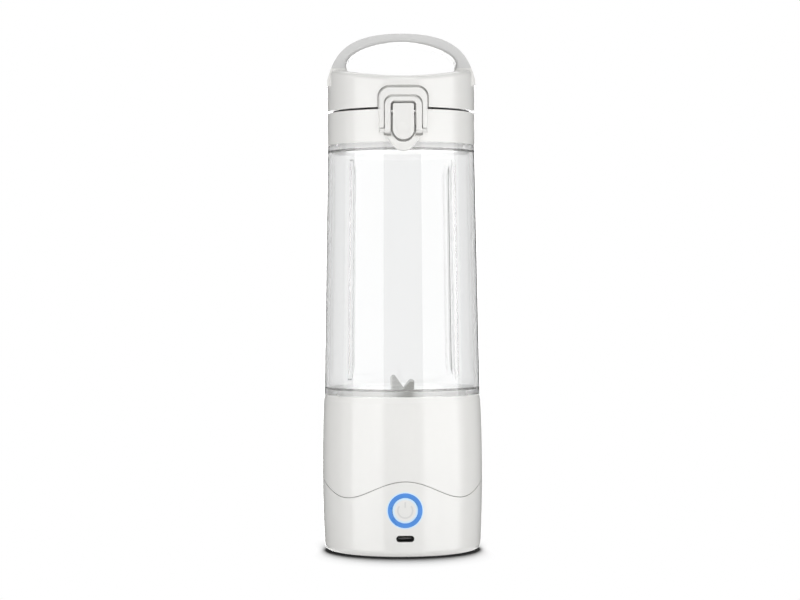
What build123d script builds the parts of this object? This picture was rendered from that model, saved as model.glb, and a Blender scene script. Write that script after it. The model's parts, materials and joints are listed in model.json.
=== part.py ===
"""Portable bottle blender: a motor base, a clear cup and a flip lid with a carry loop.

Millimetres, +Z up. The origin is on the surface it stands on, on the base's axis.
The front, with the power button and the lid's latch, faces -Y.
"""

import os
from math import cos, radians, sin, sqrt, tan

from build123d import *

os.makedirs("parts", exist_ok=True)

# ---------------------------------------------------------------- driving dimensions
# Levels of the three main blocks
base_height = 82.0  # top rim of the motor base
cup_height = 130.6  # visible height of the clear cup
collar_height = 16.6  # lid collar, screwed onto the cup
cap_gap = 1.1  # open seam between the collar and the flip cap
cap_wall_height = 15.9  # straight wall of the flip cap, up to its shoulders
loop_rise = 24.6  # top of the carry loop above the shoulders

# General fits
fit_gap = 0.1  # between fixed pieces
running_clearance = 0.05  # shafts and pins in their bores
root_overlap = 1.0  # added rings and ribs start this deep in the wall that carries them
seat_gap = 0.2  # cup on base and collar on cup, taken up by the gaskets
neck_clearance = 0.6  # taken up by the screw threads

# Motor base shell
foot_gap = 0.8  # the shell's lower edge hangs this far above the table
foot_radius = 40.75
belly_radius = 42.0
belly_height = 42.0
rim_radius = 41.05
shell_wall = 2.4
foot_land = 3.8  # flat width under the shell, outside the bottom cover
foot_round = 3.2  # rounding of the shell's lower edge
rim_bevel_height = 2.2
rim_bevel_depth = 0.45

# Wavy seam between the lower and the upper shell
wave_height = 35.0
wave_amplitude = 4.5
wave_margin = 0.84  # the wave runs on this far beyond the belly
seam_gap = 0.35
lip_wall = 1.6
lip_bottom = 18.0
lip_rise = 7.0  # the lip stands this far above the wave's middle

# Socket for the cup, and its floor
socket_wall = 4.05  # rim left round the socket
socket_depth = 13.7  # from the rim to the gasket
base_gasket_height = 1.9
platform_thickness = 3.0
floor_thickness = 2.6
floor_bore = 16.0

# Underside
cover_thickness = 2.2
ledge_width = 2.8
ledge_height = 2.0
foot_ring_inset = 1.35  # in from the cover's edge
foot_ring_width = 7.0
foot_ring_height = 1.4
foot_ring_bevel = 0.5
post_radius = 3.0
post_height = 12.0
post_inset = 3.75  # in from the cover's edge
post_count = 4
post_start = 45.0
post_blind = 3.0  # each screw stops this far below its post's top
screw_shank = 1.2
screw_head_radius = 2.4
screw_head_height = 1.1

# Power button, light ring and charging port
button_height = 24.65
ring_outer = 8.85
ring_inner = 6.6
ring_depth = 5.5
button_gap = 0.15
button_travel = 0.8
button_thickness = 2.0
stem_radius = 2.0
port_height = 10.2
port_width = 9.25
port_opening = 3.35
port_shell_width = 8.94
port_shell_height = 3.26
port_depth = 7.35
port_recess = 2.084  # behind the shell's face
port_wall = 0.3
tongue_width = 6.7
tongue_thickness = 0.7
tongue_setback = 1.7

# Electronics
board_thickness = 1.4
board_width = 29.0
board_depth = 24.0
board_wall_gap = 1.95
standoff_radius = 2.4
standoff_spacing = 22.0
switch_board_width = 20.0
switch_board_height = 27.0
tact_size = 6.0
tact_depth = 3.5
tact_round = 0.4
plunger_radius = 1.6
plunger_length = 1.1
led_width = 2.0
led_thickness = 0.8
led_count = 4

# Battery cells and their cradle
cell_radius = 9.15
cell_headroom = 4.0  # under the motor plate
cell_gap = 0.45  # between each cell and the motor
cell_nub_radius = 3.2
cell_nub_height = 1.0
cradle_wall = 1.3
cradle_height = 9.0
cradle_bridge = 10.0

# Motor
motor_radius = 13.8
motor_length = 36.0
motor_wall = 1.0
end_cap_length = 3.5
end_cap_bevel = 1.0
motor_bush_radius = 3.6
motor_bush_length = 3.0
shaft_radius = 1.6
shaft_end_gap = 0.5
armature_radius = 9.8
armature_length = 22.0
armature_slots = 5
armature_slot_width = 2.2
magnet_bore = 10.6
magnet_angle = 130.0
magnet_overhang = 1.0  # beyond each end of the armature
plate_inset = 5.0  # in from the socket's wall
plate_thickness = 2.5
plate_bore = 5.0
plate_screw_inset = 4.0
plate_screw_count = 3
plate_screw_start = 90.0
plate_hole_skin = 0.6  # floor left over each screw hole
screw_tip_gap = 1.0
motor_screw_circle = 8.0

# Blade platform and blades
hub_base_radius = 12.5
hub_radius = 8.6
hub_height = 7.5
hub_round = 1.0
bush_radius = 5.0
bush_flange_radius = 7.2
bush_flange_height = 0.8
seal_radius = 4.4
seal_height = 3.4
seal_recess = 0.3
spacer_radius = 4.2
spacer_height = 2.2
blade_thickness = 1.3
blade_width = 11.0
blade_flat = 8.0  # level middle of each blade, each side of the shaft
wing_reach = 26.0
wing_angle = 34.0
sweep_reach = 27.5
sweep_angle = -9.0
blade_point = 2.4  # width left at a blade's tip
nut_radius = 3.9
nut_height = 3.4
dome_radius = 3.1

# Cup
cup_step = 0.1  # the cup stands in from the base's rim
cup_top_radius = 38.65
cup_wall = 2.4
neck_wall = 2.4
cup_shoulder = 1.5  # height of the sloping inside shoulders
rib_width = 2.6
rib_depth = 1.9
rib_count = 4
rib_start = 45.0
rib_root = 0.5  # the ribs start this deep in the wall
rib_margin = 4.5  # from the shoulders to each rib's end
rib_end = 6.0

# Lid collar and spout
skirt_wall = 2.75
deck_thickness = 2.8
lid_gasket_height = 1.8
spout_radius = 17.0
spout_wall = 2.5
spout_height = 9.0
spout_bevel = 0.8

# Flip cap, carry loop and spout seal
cap_wall = 2.65
cap_roof = 3.0
cap_edge_round = 2.6
deck_sag_radius = 117.0  # the cap's top is a shallow saddle of this radius
deck_rise = 0.2  # lowest line of the saddle above the shoulders
loop_foot = 9.85  # widest part of each leg of the loop
loop_crown = 4.3  # thickness of the loop at its crown
loop_corner = 4.2
shoulder_rise = 6.4  # where the loop meets the cap, above the shoulders
opening_side_rise = 2.1  # widest level of the finger opening, above the loop's seam
arch_lean = 3.4  # handles of the loop's outer curve
arch_rise = 13.1
arch_reach = 29.4
crown_rise = 5.2  # handles of the finger opening's upper curve
crown_reach = 15.5
corner_lean = 0.6  # handles of its lower corners
corner_rise = 0.9
corner_drop = 2.4
strap_half_depth = 10.5
strap_crown_half_depth = 9.0
strap_round = 1.6
tenon_depth = 6.0
tenon_width = 3.4
tenon_half_depth = 6.0
tenon_inset = 6.25
seal_overlap = 1.4  # of the disc over the spout's rim
seal_thickness = 2.0
seal_lip_gap = 1.3  # between the lip and the spout's bore
seal_lip_depth = 2.4
seal_lip_wall = 1.6
boss_radius = 8.0
stud_radius = 3.0
retainer_radius = 6.8
retainer_thickness = 1.2

# Rear hinge
hinge_inset = 0.55  # pin axis in from the lid's side
hinge_drop = 0.2  # pin axis below the flip cap's edge
hinge_pin_radius = 1.5
knuckle_radius = 3.5
knuckle_half = 6.0  # half width of the collar's knuckle
hinge_half = 12.0  # half width over the cap's two knuckles
web_height = 9.0  # each knuckle's web runs out on the wall this far from the pin
web_end = 0.5
hinge_side_gap = 0.3
hinge_sweep_gap = 0.45

# Front latch: a raised pad with a recess, a rocker button and a swinging lock ring.
# Heights are above the collar's lower edge; "proud" and "depth" are out of and into
# the lid's side.
pad_root = 2.65
pad_half_width = 12.75
pad_proud = 1.95
pad_curve = 48.0  # plan radius of the pad's, ring's and button's faces
pad_top = 28.4
pad_corner = 6.0
pad_side_bottom = 4.4  # the pad's straight sides end here
pad_tab_radius = 7.4
pad_waist_radius = 9.9  # the pad narrows to this below the ring's pivots
pad_waist_rise = 4.4
pad_drop = 5.7  # rounded tab below the collar's lower edge
pad_taper = 14.0
tongue_depth = 0.95
tab_proud = 0.45
recess_depth = 1.35
recess_gap = 0.35
channel_proud = 0.45
channel_gap = 0.45
channel_gap_top = 1.0
channel_bottom = 2.4
lock_half_width = 9.5
lock_leg = 3.0
lock_bar = 2.3
lock_top = 22.8
lock_corner = 4.5
lock_round = 0.5
lock_proud = 2.55
lock_thickness = 1.8
lock_pivot_height = 5.7
lock_pivot_depth = 0.45
lock_eye_radius = 1.6
lock_eye_room = 2.75
lock_eye_depth = 2.25
lock_stub_radius = 1.1
lock_stub_half = 12.0
latch_half_width = 5.4
latch_gap = 0.75
latch_gap_bottom = 1.3
latch_top = 19.4
latch_bottom = 0.9
latch_corner = 1.0
latch_round = 0.5
latch_proud = 2.85
latch_thickness = 2.6
latch_bevel_height = 4.5  # the back of the button's lower end slopes away
latch_bevel_depth = 1.3
dimple_ball = 13.2  # radius of the finger dimple
dimple_depth = 0.5
latch_pocket_depth = 1.45
latch_pivot_height = 15.4
latch_pivot_depth = 0.95
latch_pin_radius = 0.7
latch_pin_half = 8.1
latch_hub_radius = 1.35
latch_hub_gap = 0.4
hook_half_width = 4.0
hook_height = 1.3
hook_depth = 0.9
hook_relief = 0.3
catch_depth = 0.6
catch_gap = 0.4
leaf_thickness = 0.3
leaf_half_width = 2.0
leaf_length = 7.0
leaf_bow = 0.3



def side_radius(height):
    """Outside radius of the base at a height, on a parabola through foot, belly and rim."""
    foot_share = (height - belly_height) * (height - base_height)
    foot_share /= (foot_gap - belly_height) * (foot_gap - base_height)
    belly_share = (height - foot_gap) * (height - base_height)
    belly_share /= (belly_height - foot_gap) * (belly_height - base_height)
    rim_share = 1 - foot_share - belly_share
    return foot_share * foot_radius + belly_share * belly_radius + rim_share * rim_radius


# ---------------------------------------------------------------- derived levels and places
collar_bottom = base_height + cup_height
collar_top = collar_bottom + collar_height
cap_bottom = collar_top + cap_gap
shoulder = cap_bottom + cap_wall_height
loop_top = shoulder + loop_rise
loop_seam = shoulder + shoulder_rise
deck_low = shoulder + deck_rise
cap_ceiling = deck_low - cap_roof

cover_radius = foot_radius - foot_land
cover_bottom = foot_gap + fit_gap
cover_top = cover_bottom + cover_thickness
foot_ring_outer = cover_radius - foot_ring_inset
foot_ring_inner = foot_ring_outer - foot_ring_width
post_circle = cover_radius - post_inset
socket_radius = rim_radius - socket_wall
neck_bottom = base_height - socket_depth
platform_top = neck_bottom - base_gasket_height - fit_gap
platform_bottom = platform_top - platform_thickness
floor_bottom = platform_bottom - floor_thickness
plate_bottom = floor_bottom - plate_thickness
motor_bottom = plate_bottom - motor_length
can_bottom = motor_bottom + end_cap_length
cell_bottom = cover_top + cradle_wall
cell_length = plate_bottom - cell_headroom - cell_bottom
cell_offset = motor_radius + cell_gap + cell_radius
plate_radius = socket_radius - plate_inset
plate_screw_circle = plate_radius - plate_screw_inset

board_top = port_height - port_shell_height / 2
board_bottom = board_top - board_thickness
port_mouth = side_radius(port_height) - port_recess
switch_face = port_mouth - port_depth - fit_gap
button_back = belly_radius - button_thickness
stem_end = switch_face + tact_depth + plunger_length + button_travel + fit_gap
board_corner_radius = foot_radius - shell_wall - board_wall_gap
board_front = board_corner_radius
board_middle = board_front - board_depth / 2

hub_top = platform_top + hub_height
seal_bottom = hub_top - seal_height
spacer_bottom = hub_top + seat_gap
blade_seat = spacer_bottom + spacer_height
upper_seat = blade_seat + blade_thickness
nut_bottom = upper_seat + blade_thickness
dome_centre = nut_bottom + nut_height
shaft_top = dome_centre

neck_radius_bottom = socket_radius - neck_clearance
cup_bottom_radius = rim_radius - cup_step
cup_base = base_height + seat_gap
cup_end = collar_bottom - seat_gap
deck_bottom = collar_top - deck_thickness
neck_top = deck_bottom - lid_gasket_height - fit_gap
lid_radius = cup_top_radius
skirt_radius = lid_radius - skirt_wall
neck_radius_top = skirt_radius - neck_clearance
spout_bore = spout_radius - spout_wall
seal_disc_radius = spout_radius + seal_overlap
seal_lip_radius = spout_bore - seal_lip_gap
spout_top = collar_top + spout_height
disc_bottom = spout_top + seat_gap
disc_top = disc_bottom + seal_thickness

loop_inner_half = lid_radius - loop_foot
tenon_offset = lid_radius - tenon_inset
hinge_offset = lid_radius - hinge_inset
hinge_height = cap_bottom - hinge_drop
pad_back = lid_radius - pad_root
pad_front = lid_radius + pad_proud
tongue_back = lid_radius - tongue_depth
tab_back = lid_radius + tab_proud
recess_radius = lid_radius - recess_depth
channel_floor = lid_radius + channel_proud
lock_front = lid_radius + lock_proud
lock_pivot_offset = lid_radius - lock_pivot_depth
lock_eye_floor = lid_radius - lock_eye_depth
latch_front = lid_radius + latch_proud
latch_back = latch_front - latch_thickness
latch_pocket_floor = lid_radius - latch_pocket_depth
latch_pivot_offset = lid_radius - latch_pivot_depth
hook_reach = lid_radius - hook_depth
lock_pivot = collar_bottom + lock_pivot_height
latch_pivot = collar_bottom + latch_pivot_height
tab_centre = collar_bottom - pad_drop + pad_tab_radius
channel_half = lock_half_width + channel_gap
pocket_half = latch_half_width + latch_gap
latch_arc_centre = collar_bottom + latch_bottom + latch_half_width


# ---------------------------------------------------------------- shared outlines
def barrel_section():
    """Half section of the solid barrel inside the base's side."""
    with BuildSketch(Plane.XZ) as section_sketch:
        with BuildLine():
            ThreePointArc(
                (foot_radius, foot_gap), (belly_radius, belly_height), (rim_radius, base_height)
            )
            Polyline(
                (rim_radius, base_height), (0, base_height), (0, foot_gap), (foot_radius, foot_gap)
            )
        make_face()
    return section_sketch.sketch_local


def hollow_section(inset):
    """Half section of the hollow behind a wall, with straight drafted sides."""
    with BuildSketch(Plane.XZ) as section_sketch:
        with BuildLine():
            Polyline(
                (foot_radius - inset, foot_gap),
                (belly_radius - inset, belly_height),
                (rim_radius - inset, base_height),
                (0, base_height),
                (0, foot_gap),
                (foot_radius - inset, foot_gap),
            )
        make_face()
    return section_sketch.sketch_local


def wave(x):
    """Height of the seam at x: four crests round the barrel, as seen from the front."""
    u = x / belly_radius
    return wave_height + wave_amplitude * (1 - 8 * u**2 + 8 * u**4)


def behind_face(front, half_width):
    """Plan of everything behind a latch face that is curved like the pad."""
    drop = pad_curve - sqrt(pad_curve**2 - half_width**2)
    with BuildSketch() as plan_sketch:
        with BuildLine():
            ThreePointArc((-half_width, drop - front), (0, -front), (half_width, drop - front))
            Polyline(
                (half_width, drop - front),
                (half_width, -pad_back + pad_curve),
                (-half_width, -pad_back + pad_curve),
                (-half_width, drop - front),
            )
        make_face()
    return plan_sketch.sketch_local


def cup_inner_radius(height):
    """Inside radius of the cup's tapered wall at a height."""
    share = (height - cup_base) / (cup_end - cup_base)
    return cup_bottom_radius + (cup_top_radius - cup_bottom_radius) * share - cup_wall


outer_barrel = barrel_section()
shell_hollow = hollow_section(shell_wall)
lip_hollow = hollow_section(shell_wall + lip_wall)

# The solid barrel cuts the front pieces flush with the shell
with BuildPart() as barrel:
    with BuildSketch(Plane.XZ):
        add(outer_barrel)
    revolve(axis=Axis.Z)

# Front view of everything above the wavy seam, wider than the barrel
wave_half = belly_radius + wave_margin
wave_steps = 16
wave_x = [wave_half * (2 * step / wave_steps - 1) for step in range(wave_steps + 1)]
with BuildSketch(Plane.XZ) as above_wave:
    with BuildLine():
        Spline(*[(x, wave(x)) for x in wave_x])
        Polyline(
            (wave_half, wave(wave_half)),
            (2 * belly_radius, wave(wave_half)),
            (2 * belly_radius, 2 * base_height),
            (-2 * belly_radius, 2 * base_height),
            (-2 * belly_radius, wave(wave_half)),
            (-wave_half, wave(wave_half)),
        )
    make_face()

# Front view of the flip cap and its carry loop, with the finger opening
opening_top = loop_top - loop_crown
opening_side = loop_seam + opening_side_rise
deck_centre = deck_low + deck_sag_radius
deck_corner_x = loop_inner_half - loop_corner
deck_corner_z = deck_centre - sqrt(deck_sag_radius**2 - deck_corner_x**2)
with BuildSketch(Plane.XZ) as arch_view:
    with BuildLine():
        arch = Bezier(
            (lid_radius, shoulder),
            (lid_radius - arch_lean, shoulder + arch_rise),
            (arch_reach, loop_top),
            (0, loop_top),
        )
        mirror(arch, about=Plane.YZ)
        Polyline(
            (lid_radius, shoulder),
            (lid_radius, cap_bottom),
            (-lid_radius, cap_bottom),
            (-lid_radius, shoulder),
        )
    make_face()
with BuildSketch(Plane.XZ) as loop_view:
    add(arch_view.sketch_local)
    with BuildLine():
        crown = Bezier(
            (loop_inner_half, opening_side),
            (loop_inner_half, opening_side + crown_rise),
            (crown_reach, opening_top),
            (0, opening_top),
        )
        corner = Bezier(
            (deck_corner_x, deck_corner_z),
            (loop_inner_half - corner_lean, deck_corner_z + corner_rise),
            (loop_inner_half, opening_side - corner_drop),
            (loop_inner_half, opening_side),
        )
        mirror(crown, about=Plane.YZ)
        mirror(corner, about=Plane.YZ)
        ThreePointArc(
            (-deck_corner_x, deck_corner_z), (0, deck_low), (deck_corner_x, deck_corner_z)
        )
    make_face(mode=Mode.SUBTRACT)

# ---------------------------------------------------------------- underside of the base
downward = Plane(origin=(0, 0, foot_ring_height), x_dir=(1, 0, 0), z_dir=(0, 0, -1))

with BuildPart() as foot_ring:
    with BuildSketch():
        Circle(foot_ring_outer)
        Circle(foot_ring_inner, mode=Mode.SUBTRACT)
    extrude(amount=foot_ring_height)
    chamfer(foot_ring.edges().group_by(Axis.Z)[0], length=foot_ring_bevel)
foot_ring.part.label = "foot_ring"
export_step(foot_ring.part, "parts/foot_ring.step")

with BuildPart() as bottom_cover:
    with BuildSketch(Plane.XY.offset(cover_bottom)):
        Circle(cover_radius - fit_gap)
    extrude(amount=cover_thickness)
    with BuildSketch(Plane.XY.offset(cover_bottom)):
        Circle(foot_ring_outer)
        Circle(foot_ring_inner, mode=Mode.SUBTRACT)
    extrude(amount=foot_ring_height - cover_bottom, mode=Mode.SUBTRACT)
    with BuildSketch(Plane.XY.offset(cover_top)):
        with Locations((0, -board_middle)):
            with GridLocations(standoff_spacing, 0, 2, 1):
                Circle(standoff_radius)
    extrude(amount=board_bottom - cover_top)
    with Locations(downward):
        with PolarLocations(post_circle, post_count, start_angle=post_start):
            CounterBoreHole(
                radius=screw_shank + fit_gap,
                counter_bore_radius=screw_head_radius + fit_gap,
                counter_bore_depth=screw_head_height,
                depth=cover_top - cover_bottom,
            )
bottom_cover.part.label = "bottom_cover"
export_step(bottom_cover.part, "parts/bottom_cover.step")

# Four screws, hidden under the foot ring
with BuildPart() as cover_screws:
    with BuildSketch(Plane.XY.offset(foot_ring_height)):
        with PolarLocations(post_circle, post_count, start_angle=post_start):
            Circle(screw_head_radius)
    extrude(amount=screw_head_height)
    with BuildSketch(Plane.XY.offset(foot_ring_height)):
        with PolarLocations(post_circle, post_count, start_angle=post_start):
            Circle(screw_shank)
    extrude(amount=cover_top - foot_ring_height + post_height - post_blind)
cover_screws.part.label = "cover_screws"
export_step(cover_screws.part, "parts/cover_screws.step")

# ---------------------------------------------------------------- the two shells
seam_plane = Plane(origin=(0, 0, -seam_gap), x_dir=(1, 0, 0), z_dir=(0, -1, 0))
ledge_inner = cover_radius - ledge_width

with BuildPart() as lower_housing:
    with BuildSketch(Plane.XZ) as lower_section:
        add(outer_barrel)
        add(shell_hollow, mode=Mode.SUBTRACT)
        with Locations((cover_radius, foot_gap)):
            Rectangle(
                foot_land - root_overlap,
                cover_top - foot_gap,
                align=(Align.MIN, Align.MIN),
            )
        with Locations((ledge_inner, cover_top)):
            Rectangle(
                foot_radius - root_overlap - ledge_inner,
                ledge_height,
                align=(Align.MIN, Align.MIN),
            )
        fillet(lower_section.vertices().group_by(Axis.Y)[0].sort_by(Axis.X)[-1], foot_round)
    revolve(axis=Axis.Z)
    with BuildSketch(seam_plane):
        add(above_wave.sketch_local)
    extrude(amount=2 * belly_radius, both=True, mode=Mode.SUBTRACT)
    # the lip behind the seam, which the upper shell slides over
    with BuildSketch(Plane.XZ):
        add(shell_hollow)
        add(lip_hollow, mode=Mode.SUBTRACT)
        with Locations((0, lip_bottom)):
            Rectangle(
                belly_radius,
                wave_height + lip_rise - lip_bottom,
                align=(Align.MIN, Align.MIN),
                mode=Mode.INTERSECT,
            )
    revolve(axis=Axis.Z)
    with BuildSketch(Plane.XY.offset(cover_top)):
        with PolarLocations(post_circle, post_count, start_angle=post_start):
            Circle(post_radius)
            Circle(screw_shank, mode=Mode.SUBTRACT)
    extrude(amount=post_height)
    with Locations(downward):
        with PolarLocations(post_circle, post_count, start_angle=post_start):
            Hole(radius=screw_shank, depth=post_height)
    with BuildSketch(Plane.XZ.offset(cell_offset)):
        with Locations((0, button_height)):
            Circle(ring_outer)
        with Locations((0, port_height)):
            SlotOverall(port_width, port_opening)
    extrude(amount=belly_radius, mode=Mode.SUBTRACT)
lower_housing.part.label = "lower_housing"
export_step(lower_housing.part, "parts/lower_housing.step")

with BuildPart() as upper_housing:
    with BuildSketch(Plane.XZ):
        add(outer_barrel)
        add(shell_hollow, mode=Mode.SUBTRACT)
        with Locations((socket_radius, floor_bottom)):
            Rectangle(
                socket_wall - root_overlap,
                base_height - floor_bottom,
                align=(Align.MIN, Align.MIN),
            )
        with Locations((floor_bore, floor_bottom)):
            Rectangle(
                rim_radius - root_overlap - floor_bore,
                floor_thickness,
                align=(Align.MIN, Align.MIN),
            )
        with BuildLine():
            Polyline(
                (rim_radius - rim_bevel_depth, base_height),
                (rim_radius + 1, base_height - rim_bevel_height * (1 + 1 / rim_bevel_depth)),
                (rim_radius + 1, base_height),
                (rim_radius - rim_bevel_depth, base_height),
            )
        make_face(mode=Mode.SUBTRACT)
    revolve(axis=Axis.Z)
    with BuildSketch(Plane.XZ):
        add(above_wave.sketch_local)
    extrude(amount=2 * belly_radius, both=True, mode=Mode.INTERSECT)
    with BuildSketch(Plane.XY.offset(floor_bottom)):
        with PolarLocations(plate_screw_circle, plate_screw_count, start_angle=plate_screw_start):
            Circle(screw_shank)
    extrude(amount=floor_thickness - plate_hole_skin, mode=Mode.SUBTRACT)
upper_housing.part.label = "upper_housing"
export_step(upper_housing.part, "parts/upper_housing.step")

# ---------------------------------------------------------------- power button and light ring
with BuildPart() as light_ring:
    with BuildSketch(Plane.XZ.offset(belly_radius - ring_depth)):
        with Locations((0, button_height)):
            Circle(ring_outer)
            Circle(ring_inner, mode=Mode.SUBTRACT)
    extrude(amount=2 * ring_depth)
    add(barrel.part, mode=Mode.INTERSECT)
light_ring.part.label = "light_ring"
export_step(light_ring.part, "parts/light_ring.step")

with BuildPart() as power_button:
    with BuildSketch(Plane.XZ.offset(button_back)):
        with Locations((0, button_height)):
            Circle(ring_inner - button_gap)
    extrude(amount=2 * button_thickness)
    add(barrel.part, mode=Mode.INTERSECT)
    with BuildSketch(Plane.XZ.offset(stem_end)):
        with Locations((0, button_height)):
            Circle(stem_radius)
    extrude(amount=button_back - stem_end)
power_button.part.label = "power_button"
export_step(power_button.part, "parts/power_button.step")

# ---------------------------------------------------------------- electronics
with BuildPart() as main_board:
    with BuildSketch(Plane.XY.offset(board_bottom)):
        with Locations((0, -board_middle)):
            Rectangle(board_width, board_depth)
        Circle(board_corner_radius, mode=Mode.INTERSECT)
    extrude(amount=board_thickness)
main_board.part.label = "main_board"
export_step(main_board.part, "parts/main_board.step")

with BuildPart() as usb_shell:
    with BuildSketch(Plane.XZ.offset(port_mouth - port_depth)):
        with Locations((0, port_height)):
            SlotOverall(port_shell_width, port_shell_height)
    extrude(amount=port_depth)
    with BuildSketch(Plane.XZ.offset(port_mouth - port_depth + port_wall)):
        with Locations((0, port_height)):
            SlotOverall(port_shell_width - 2 * port_wall, port_shell_height - 2 * port_wall)
    extrude(amount=port_depth, mode=Mode.SUBTRACT)
usb_shell.part.label = "usb_shell"
export_step(usb_shell.part, "parts/usb_shell.step")

with BuildPart() as usb_tongue:
    with BuildSketch(Plane.XZ.offset(port_mouth - port_depth + port_wall)):
        with Locations((0, port_height)):
            Rectangle(tongue_width, tongue_thickness)
    extrude(amount=port_depth - port_wall - tongue_setback)
usb_tongue.part.label = "usb_tongue"
export_step(usb_tongue.part, "parts/usb_tongue.step")

with BuildPart() as switch_board:
    with BuildSketch(Plane.XZ.offset(switch_face - board_thickness)):
        with Locations((0, board_top)):
            Rectangle(
                switch_board_width, switch_board_height, align=(Align.CENTER, Align.MIN)
            )
    extrude(amount=board_thickness)
switch_board.part.label = "switch_board"
export_step(switch_board.part, "parts/switch_board.step")

with BuildPart() as tact_switch:
    with BuildSketch(Plane.XZ.offset(switch_face)):
        with Locations((0, button_height)):
            RectangleRounded(tact_size, tact_size, tact_round)
    extrude(amount=tact_depth)
    with BuildSketch(Plane.XZ.offset(switch_face + tact_depth)):
        with Locations((0, button_height)):
            Circle(plunger_radius)
    extrude(amount=plunger_length)
tact_switch.part.label = "tact_switch"
export_step(tact_switch.part, "parts/tact_switch.step")

with BuildPart() as ring_leds:
    with BuildSketch(Plane.XZ.offset(switch_face)):
        with Locations((0, button_height)):
            with PolarLocations((ring_outer + ring_inner) / 2, led_count, start_angle=45):
                Rectangle(led_width, led_width)
    extrude(amount=led_thickness)
ring_leds.part.label = "ring_leds"
export_step(ring_leds.part, "parts/ring_leds.step")

# ---------------------------------------------------------------- battery
with BuildPart() as battery_cradle:
    with BuildSketch(Plane.XY.offset(cover_top)):
        with GridLocations(2 * cell_offset, 0, 2, 1):
            Circle(cell_radius + fit_gap + cradle_wall)
        Rectangle(2 * cell_offset, cradle_bridge)
    extrude(amount=cradle_wall)
    with BuildSketch(Plane.XY.offset(cell_bottom)):
        with GridLocations(2 * cell_offset, 0, 2, 1):
            Circle(cell_radius + fit_gap + cradle_wall)
            Circle(cell_radius + fit_gap, mode=Mode.SUBTRACT)
    extrude(amount=cradle_height)
battery_cradle.part.label = "battery_cradle"
export_step(battery_cradle.part, "parts/battery_cradle.step")

with BuildPart() as battery_cells:
    with BuildSketch(Plane.XY.offset(cell_bottom)):
        with GridLocations(2 * cell_offset, 0, 2, 1):
            Circle(cell_radius)
    extrude(amount=cell_length - cell_nub_height)
    with BuildSketch(Plane.XY.offset(cell_bottom + cell_length - cell_nub_height)):
        with GridLocations(2 * cell_offset, 0, 2, 1):
            Circle(cell_nub_radius)
    extrude(amount=cell_nub_height)
battery_cells.part.label = "battery_cells"
export_step(battery_cells.part, "parts/battery_cells.step")

# ---------------------------------------------------------------- motor
with BuildPart() as motor_can:
    with BuildSketch(Plane.XY.offset(can_bottom)):
        Circle(motor_radius)
    extrude(amount=plate_bottom - can_bottom)
    with BuildSketch(Plane.XY.offset(can_bottom)):
        Circle(motor_radius - motor_wall)
    extrude(amount=plate_bottom - can_bottom - motor_wall, mode=Mode.SUBTRACT)
    with Locations(Plane.XY.offset(plate_bottom)):
        Hole(radius=motor_bush_radius)
        with GridLocations(2 * motor_screw_circle, 0, 2, 1):
            Hole(radius=screw_shank)
motor_can.part.label = "motor_can"
export_step(motor_can.part, "parts/motor_can.step")

with BuildPart() as motor_end_cap:
    with BuildSketch(Plane.XY.offset(motor_bottom)):
        Circle(motor_radius)
        Circle(motor_bush_radius, mode=Mode.SUBTRACT)
    extrude(amount=end_cap_length)
    end_cap_edges = motor_end_cap.edges().group_by(Axis.Z)[0]
    chamfer(end_cap_edges.sort_by(SortBy.RADIUS)[-1], length=end_cap_bevel)
motor_end_cap.part.label = "motor_end_cap"
export_step(motor_end_cap.part, "parts/motor_end_cap.step")

# Two sintered bushes, one in each end of the motor
with BuildPart() as motor_bushes:
    for bush_base in (motor_bottom + fit_gap, plate_bottom - motor_bush_length):
        with BuildSketch(Plane.XY.offset(bush_base)):
            Circle(motor_bush_radius)
            Circle(shaft_radius + running_clearance, mode=Mode.SUBTRACT)
        extrude(amount=motor_bush_length)
motor_bushes.part.label = "motor_bushes"
export_step(motor_bushes.part, "parts/motor_bushes.step")

armature_bottom = can_bottom + (motor_length - end_cap_length - armature_length) / 2
with BuildPart() as motor_magnets:
    with BuildSketch(Plane.XY.offset(armature_bottom - magnet_overhang)):
        for middle in (0, 180):
            arc_start = middle - magnet_angle / 2
            with BuildLine():
                outer_arc = CenterArc((0, 0), motor_radius - motor_wall, arc_start, magnet_angle)
                inner_arc = CenterArc((0, 0), magnet_bore, arc_start, magnet_angle)
                Line(outer_arc @ 0, inner_arc @ 0)
                Line(outer_arc @ 1, inner_arc @ 1)
            make_face()
    extrude(amount=armature_length + 2 * magnet_overhang)
motor_magnets.part.label = "motor_magnets"
export_step(motor_magnets.part, "parts/motor_magnets.step")

with BuildPart() as armature:
    with BuildSketch(Plane.XY.offset(armature_bottom)):
        Circle(armature_radius)
        with PolarLocations(armature_radius, armature_slots):
            SlotOverall(armature_radius, armature_slot_width, mode=Mode.SUBTRACT)
        Circle(shaft_radius, mode=Mode.SUBTRACT)
    extrude(amount=armature_length)
armature.part.label = "armature"
export_step(armature.part, "parts/armature.step")

with BuildPart() as motor_plate:
    with BuildSketch(Plane.XY.offset(plate_bottom)):
        Circle(plate_radius)
        Circle(plate_bore, mode=Mode.SUBTRACT)
        with GridLocations(2 * motor_screw_circle, 0, 2, 1):
            Circle(screw_shank + fit_gap, mode=Mode.SUBTRACT)
        with PolarLocations(plate_screw_circle, plate_screw_count, start_angle=plate_screw_start):
            Circle(screw_shank + fit_gap, mode=Mode.SUBTRACT)
    extrude(amount=plate_thickness)
motor_plate.part.label = "motor_plate"
export_step(motor_plate.part, "parts/motor_plate.step")

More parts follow.
